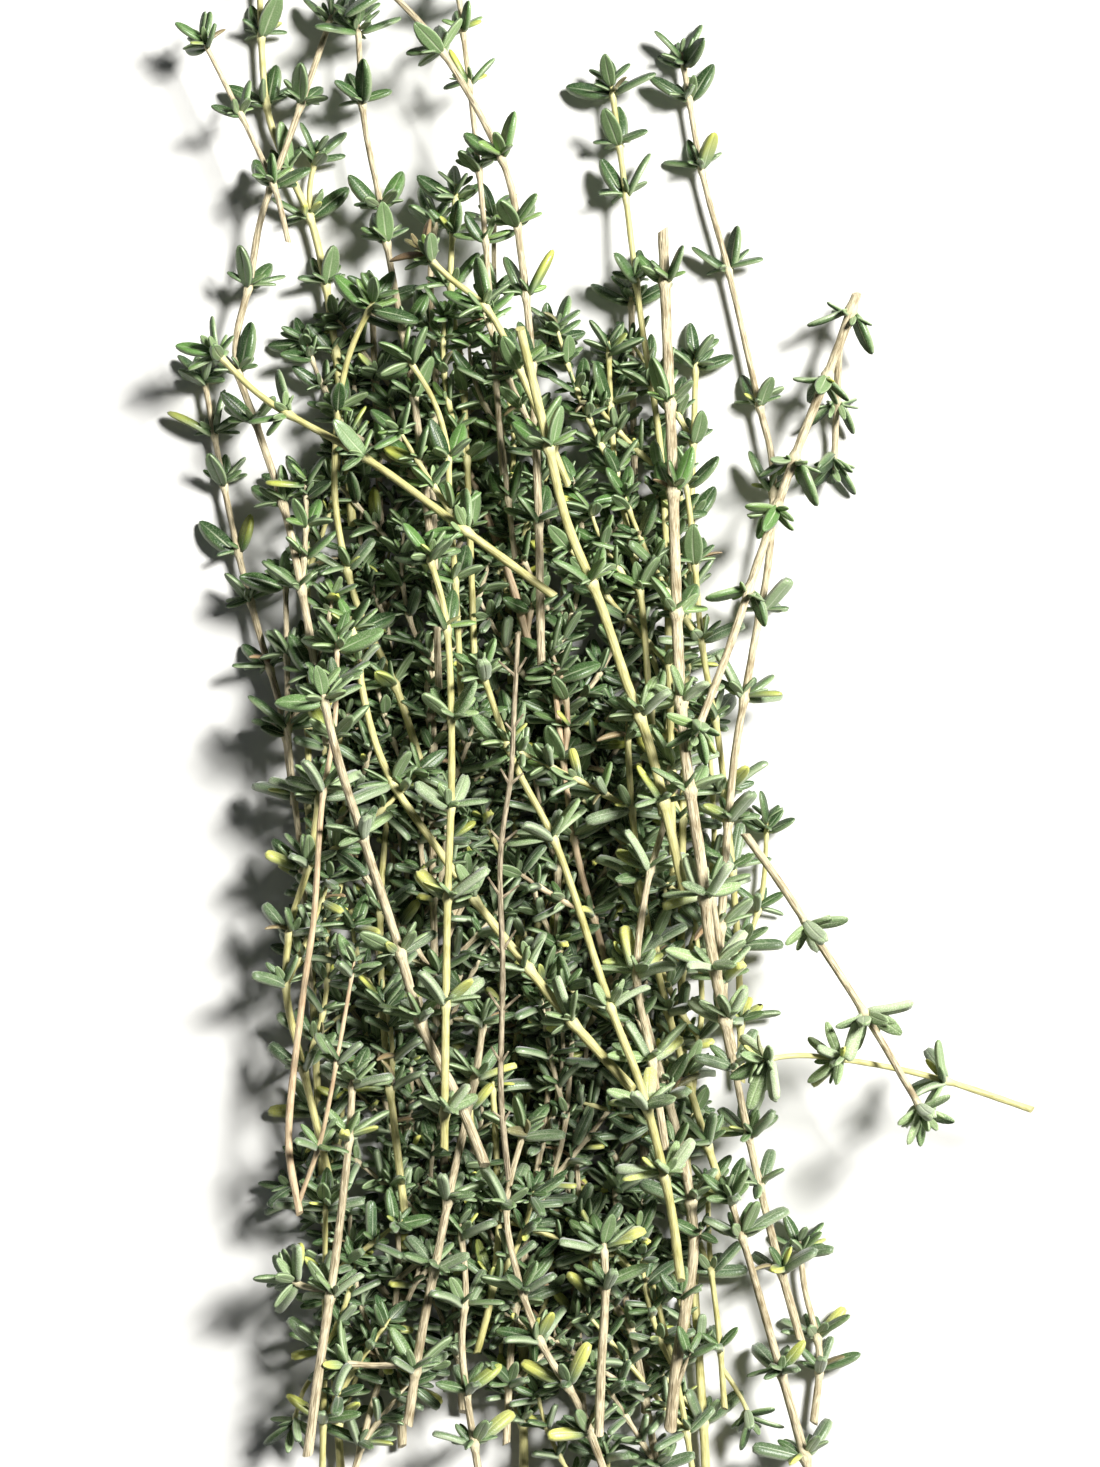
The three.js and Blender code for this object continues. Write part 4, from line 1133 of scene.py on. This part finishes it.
def new_group(name, inputs, outputs):
    """An empty node group with named sockets, and its input and output nodes."""
    tree = bpy.data.node_groups.new(name, "ShaderNodeTree")
    for socket, kind in inputs.items():
        tree.interface.new_socket(socket, in_out="INPUT", socket_type=kind)
    for socket, kind in outputs.items():
        tree.interface.new_socket(socket, in_out="OUTPUT", socket_type=kind)
    return tree, tree.nodes.new("NodeGroupInput").outputs, tree.nodes.new("NodeGroupOutput").inputs


def new_material(name, **uniform):
    """A material with a Principled shader, whose even values sit on its own sockets."""
    material = bpy.data.materials.new(name)
    material.use_nodes = True
    tree = material.node_tree
    shader = tree.nodes["Principled BSDF"]
    for key, value in uniform.items():
        shader.inputs[key.replace("_", " ").title()].default_value = value
    return material, tree, shader


# %% [markdown]
# ## Leaf skin
# The upper side is dark green with a paler groove along the midrib and a pale rolled edge. The under side is
# grey-green. Old leaves low on the plant are coated with short white hairs, which makes them velvety and
# pale, and a few turn yellow from the tip or wither. Leaves deep in the pile carry painted shade: a darker
# tone and less velvet. The group reads where each point is on its leaf, so the marks follow every bend.

# %% The leaf skin group
COLOUR, VALUE = "NodeSocketColor", "NodeSocketFloat"


def leaf_skin_group():
    """The colour, roughness and relief of a leaf."""
    tree, given, result = new_group(
        "leaf skin",
        {
            "Deep": COLOUR, "Bright": COLOUR, "Under": COLOUR, "Pale": COLOUR,
            "Velvet": COLOUR, "Yellowed": COLOUR, "Withered": COLOUR, "Rib": VALUE,
        },
        {"Color": COLOUR, "Roughness": VALUE, "Height": VALUE},
    )
    place = node(tree, "Attribute", attribute_name="leaf_place")
    parts = node(tree, "SeparateColor", {"Color": place.outputs["Color"]}).outputs
    look = node(tree, "Attribute", attribute_name="leaf_look")
    looks = node(tree, "SeparateXYZ", {"Vector": look.outputs["Vector"]}).outputs
    spot = node(tree, "TexCoord").outputs["Object"]
    across = calc(tree, "ABSOLUTE", calc(tree, "MULTIPLY_ADD", parts["Red"], 2.0, -1.0))
    along, under, tint = parts["Green"], parts["Blue"], place.outputs["Alpha"]
    velvet, yellow = looks["X"], looks["Y"]

    mottle = noise(tree, spot, 420.0, 3.0)
    # The leaf's tone carries painted shade: leaves low in the pile were darkened, so they mix towards Deep and
    # show less velvet.
    shade = calc(tree, "ADD", calc(tree, "MULTIPLY", tint, 0.75), calc(tree, "MULTIPLY", mottle, 0.5))
    colour = blend(tree, ramp(tree, shade, 0.15, 1.1), given["Deep"], given["Bright"])
    velvety = calc(tree, "MULTIPLY", velvet, ramp(tree, shade, -0.3, 1.2))
    colour = blend(tree, velvety, colour, given["Velvet"])
    colour = blend(tree, calc(tree, "MULTIPLY", under, 0.75), colour, given["Under"])
    rib = ramp(tree, across, 0.02, 0.14, 1.0, 0.0)
    rib = calc(tree, "MULTIPLY", rib, ramp(tree, along, 0.2, 1.0, 1.0, 0.2))
    edge = calc(tree, "MULTIPLY", ramp(tree, across, 0.84, 1.0), 0.7)
    pale = calc(tree, "MULTIPLY", calc(tree, "MAXIMUM", rib, edge), given["Rib"])
    colour = blend(tree, pale, colour, given["Pale"])
    turned = calc(tree, "MULTIPLY", yellow, ramp(tree, along, 0.1, 0.95), clamp=True)
    colour = blend(tree, turned, colour, given["Yellowed"])
    colour = blend(tree, looks["Z"], colour, given["Withered"])

    hairs = noise(tree, spot, 5200.0, 1.0)
    fuzz = calc(tree, "MULTIPLY", ramp(tree, hairs, 0.48, 0.68), ramp(tree, velvet, 0.0, 1.0, 0.16, 0.5))
    tree.links.new(blend(tree, fuzz, colour, given["Pale"]), result["Color"])
    tree.links.new(ramp(tree, velvet, 0.0, 1.0, 0.34, 0.8), result["Roughness"])
    groove = calc(tree, "MULTIPLY", ramp(tree, across, 0.0, 0.2), 1.2)
    bands = {"Vector": place.outputs["Color"], "Scale": 5.5, "Distortion": 1.5}
    veins = node(tree, "TexWave", bands, bands_direction="Y").outputs["Fac"]
    relief = calc(tree, "ADD", groove, calc(tree, "MULTIPLY", veins, 0.18))
    tree.links.new(calc(tree, "ADD", relief, calc(tree, "MULTIPLY", hairs, 0.5)), result["Height"])
    return tree


LEAF_SKIN = leaf_skin_group()


def leaf_material(name, colours, rib, **uniform):
    """One kind of leaf, from the shared skin. Its colours are given by the names of the skin's inputs."""
    material, tree, shader = new_material(name, **uniform)
    skin = node(tree, "Group", node_tree=LEAF_SKIN)
    for key, code in colours.items():
        skin.inputs[key].default_value = srgb(code)
    skin.inputs["Rib"].default_value = rib
    tree.links.new(skin.outputs["Color"], shader.inputs["Base Color"])
    tree.links.new(skin.outputs["Roughness"], shader.inputs["Roughness"])
    bump = node(tree, "Bump", {"Strength": 0.5, "Distance": 0.12 * MM, "Height": skin.outputs["Height"]})
    tree.links.new(bump.outputs["Normal"], shader.inputs["Normal"])
    return material


# %% Leaf materials
# Each leaf mixes from Deep to Bright by its tone; the painted shade low in the pile pulls it towards Deep.
BROWN = "8a7052"
LEAF_FINISHES = {
    "broad": leaf_material(
        "broad leaf",
        dict(
            Deep="203c1b", Bright="5d8740", Under="7a9464", Pale="ccd4b4",
            Velvet="76905f", Yellowed="c8cc56", Withered=BROWN,
        ),
        rib=0.5, sheen_weight=0.05, sheen_roughness=0.4,
    ),
    "narrow": leaf_material(
        "velvety leaf",
        dict(
            Deep="2e4c2a", Bright="769358", Under="92a67e", Pale="dadec6",
            Velvet="a4b48c", Yellowed="dcdc6c", Withered=BROWN,
        ),
        rib=0.4, sheen_weight=0.25, sheen_roughness=0.5,
    ),
    "tuft": leaf_material(
        "tuft leaf",
        dict(
            Deep="264822", Bright="789a48", Under="889f70", Pale="d0d8ba",
            Velvet="93a878", Yellowed="d6d864", Withered=BROWN,
        ),
        rib=0.45, sheen_weight=0.1, sheen_roughness=0.4,
    ),
}
LEAF_KINDS = list(LEAF_FINISHES)

for s in SPRIGS:
    if s["leaf_piece"]:
        mesh = s["leaf_piece"].data
        for kind in LEAF_KINDS:
            mesh.materials.append(LEAF_FINISHES[kind])
        kinds = [LEAF_KINDS.index(leaf.kind) for leaf in s["leaves"] for _ in MODELS[leaf.kind].faces]
        mesh.polygons.foreach_set("material_index", kinds)

# %% [markdown]
# ## Bark
# Young stems are pale yellow-green and nearly smooth. Older ones are tan, with fine fibres that run along
# them and darker cracks between, and the driest are grey-brown. The fibres are noise that is drawn out along
# the straightened stem, so they follow each bend. At the leaf pairs every stem is paler.

# %% The bark group
def bark_group():
    """The colour and relief of a stem."""
    tree, given, result = new_group(
        "bark",
        {"Pale": COLOUR, "Dark": COLOUR, "Node": COLOUR, "Fibres": VALUE, "Cracks": VALUE},
        {"Color": COLOUR, "Height": VALUE},
    )
    straight = node(tree, "Attribute", attribute_name="straight_stem").outputs["Vector"]
    near = node(tree, "Attribute", attribute_name="leaf_node").outputs["Fac"]
    drawn = node(tree, "Mapping", {"Vector": straight, "Scale": (1.0, 0.07, 1.0)}).outputs["Vector"]
    fibres = noise(tree, drawn, 6500.0, 4.0, 0.65)
    broad = noise(tree, straight, 260.0, 2.0)
    cracks = ramp(tree, noise(tree, drawn, 2600.0, 2.0), 0.36, 0.46, 1.0, 0.0)
    share = calc(tree, "MULTIPLY", ramp(tree, fibres, 0.35, 0.7), given["Fibres"])
    share = calc(tree, "ADD", share, calc(tree, "MULTIPLY", ramp(tree, broad, 0.42, 0.75), 0.45), clamp=True)
    share = calc(tree, "MAXIMUM", share, calc(tree, "MULTIPLY", cracks, given["Cracks"]), clamp=True)
    colour = blend(tree, share, given["Pale"], given["Dark"])
    colour = blend(tree, calc(tree, "MULTIPLY", near, 0.7), colour, given["Node"])
    tree.links.new(colour, result["Color"])
    depth = calc(tree, "MULTIPLY", cracks, given["Cracks"])
    tree.links.new(calc(tree, "SUBTRACT", fibres, depth), result["Height"])
    return tree


BARK = bark_group()


def stem_material(name, pale, dark, knot, fibres, cracks, depth, **uniform):
    """One kind of stem, from the shared bark."""
    material, tree, shader = new_material(name, **uniform)
    bark = node(tree, "Group", node_tree=BARK)
    for key, code in dict(Pale=pale, Dark=dark, Node=knot).items():
        bark.inputs[key].default_value = srgb(code)
    bark.inputs["Fibres"].default_value = fibres
    bark.inputs["Cracks"].default_value = cracks
    tree.links.new(bark.outputs["Color"], shader.inputs["Base Color"])
    bump = node(tree, "Bump", {"Strength": 0.8, "Distance": depth, "Height": bark.outputs["Height"]})
    tree.links.new(bump.outputs["Normal"], shader.inputs["Normal"])
    return material


# %% Stem materials
STEM_FINISHES = {
    "green": stem_material(
        "green stem", "cfc98e", "948f4e", "dad6a0", fibres=0.7, cracks=0.35, depth=0.12 * MM, roughness=0.5
    ),
    "tan": stem_material(
        "tan stem", "d8ccac", "7c6c4c", "dcd2ae", fibres=0.75, cracks=0.75, depth=0.2 * MM, roughness=0.7
    ),
    "russet": stem_material(
        "russet stem", "d6c3a0", "9a7858", "dccfac", fibres=0.6, cracks=0.5, depth=0.14 * MM, roughness=0.6
    ),
    "dry": stem_material(
        "dry stem", "c0b498", "60523e", "cabfa6", fibres=0.8, cracks=0.9, depth=0.18 * MM, roughness=0.85
    ),
}


def wood_material():
    """The pale wood of a fresh cut, with a faint grain."""
    material, tree, shader = new_material("cut wood", roughness=0.7)
    straight = node(tree, "Attribute", attribute_name="straight_stem").outputs["Vector"]
    grain = noise(tree, straight, 5200.0, 3.0)
    colour = blend(tree, ramp(tree, grain, 0.3, 0.7), srgb("e6dcae"), srgb("c2ad70"))
    tree.links.new(colour, shader.inputs["Base Color"])
    return material


CUT_WOOD = wood_material()
for s in SPRIGS:
    mesh = s["stem_piece"].data
    mesh.materials.clear()
    mesh.materials.append(STEM_FINISHES[s["finish"]])
    mesh.materials.append(CUT_WOOD)

# %% [markdown]
# ## Riding on the frame
# All the sprigs ride on the one body of the CAD model, and each pair of pieces stands for its CAD node.

# %% Join the pieces to the frame
for s in SPRIGS:
    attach(s["stem_piece"], "root")
    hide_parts(s["name"])
    if s["leaf_piece"]:
        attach(s["leaf_piece"], "root")
        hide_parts(s["name"])

# %% [markdown]
# ## The stage
# The bundle lies on a plain pale floor. One soft light stands high on the right and makes the shadows, a
# wide weak one fills them, and the camera looks straight down from far enough that the pile's height hardly
# spreads it.

# %% Floor, lights and camera
VIEW_HEIGHT = 249.4 * MM  # what the camera takes in, at the height of the pile's middle
VIEW_MIDDLE = (-CHART_MIDDLE[0] * MM, -CHART_MIDDLE[1] * MM, 16 * MM)
CAMERA_HEIGHT = 0.9  # m above the pile's middle
SENSOR = 24  # mm, as the lens

bpy.ops.object.select_all(action="DESELECT")
bpy.ops.mesh.primitive_plane_add(size=6, location=(0, 0, 0))
floor = bpy.context.object
floor.name = "floor"
floor_material, _, floor_shader = new_material("pale floor", roughness=0.9)
floor_shader.inputs["Base Color"].default_value = (0.65, 0.65, 0.64, 1)
floor.data.materials.append(floor_material)


def soft_light(name, place, size, power, colour=(1, 1, 1)):
    """A square soft light that faces the origin."""
    bpy.ops.object.light_add(type="AREA", location=place)
    light = bpy.context.object
    light.name = name
    light.data.size = size
    light.data.energy = power
    light.data.color = colour
    aim = -np.array(place, float)
    flat = math.hypot(aim[0], aim[1])
    light.rotation_euler = (math.atan2(flat, -aim[2]), 0, math.atan2(aim[1], aim[0]) - math.pi / 2)


soft_light("key light", (1.2, 0.85, 1.85), 0.55, 148, (1, 0.985, 0.95))
soft_light("fill light", (-0.5, -0.2, 1.4), 1.2, 0.7, (0.94, 0.97, 1))

world = bpy.data.worlds.new("room")
world.use_nodes = True
world.node_tree.nodes["Background"].inputs["Color"].default_value = (0.9, 0.95, 1.0, 1)
world.node_tree.nodes["Background"].inputs["Strength"].default_value = 0.035
bpy.context.scene.world = world

bpy.ops.object.camera_add(
    location=(VIEW_MIDDLE[0], VIEW_MIDDLE[1], VIEW_MIDDLE[2] + CAMERA_HEIGHT), rotation=(0, 0, 0)
)
camera = bpy.context.object
camera.data.sensor_fit = "VERTICAL"
camera.data.sensor_height = SENSOR
camera.data.lens = SENSOR * CAMERA_HEIGHT / VIEW_HEIGHT
bpy.context.scene.camera = camera
bpy.context.scene.view_settings.view_transform = "Standard"
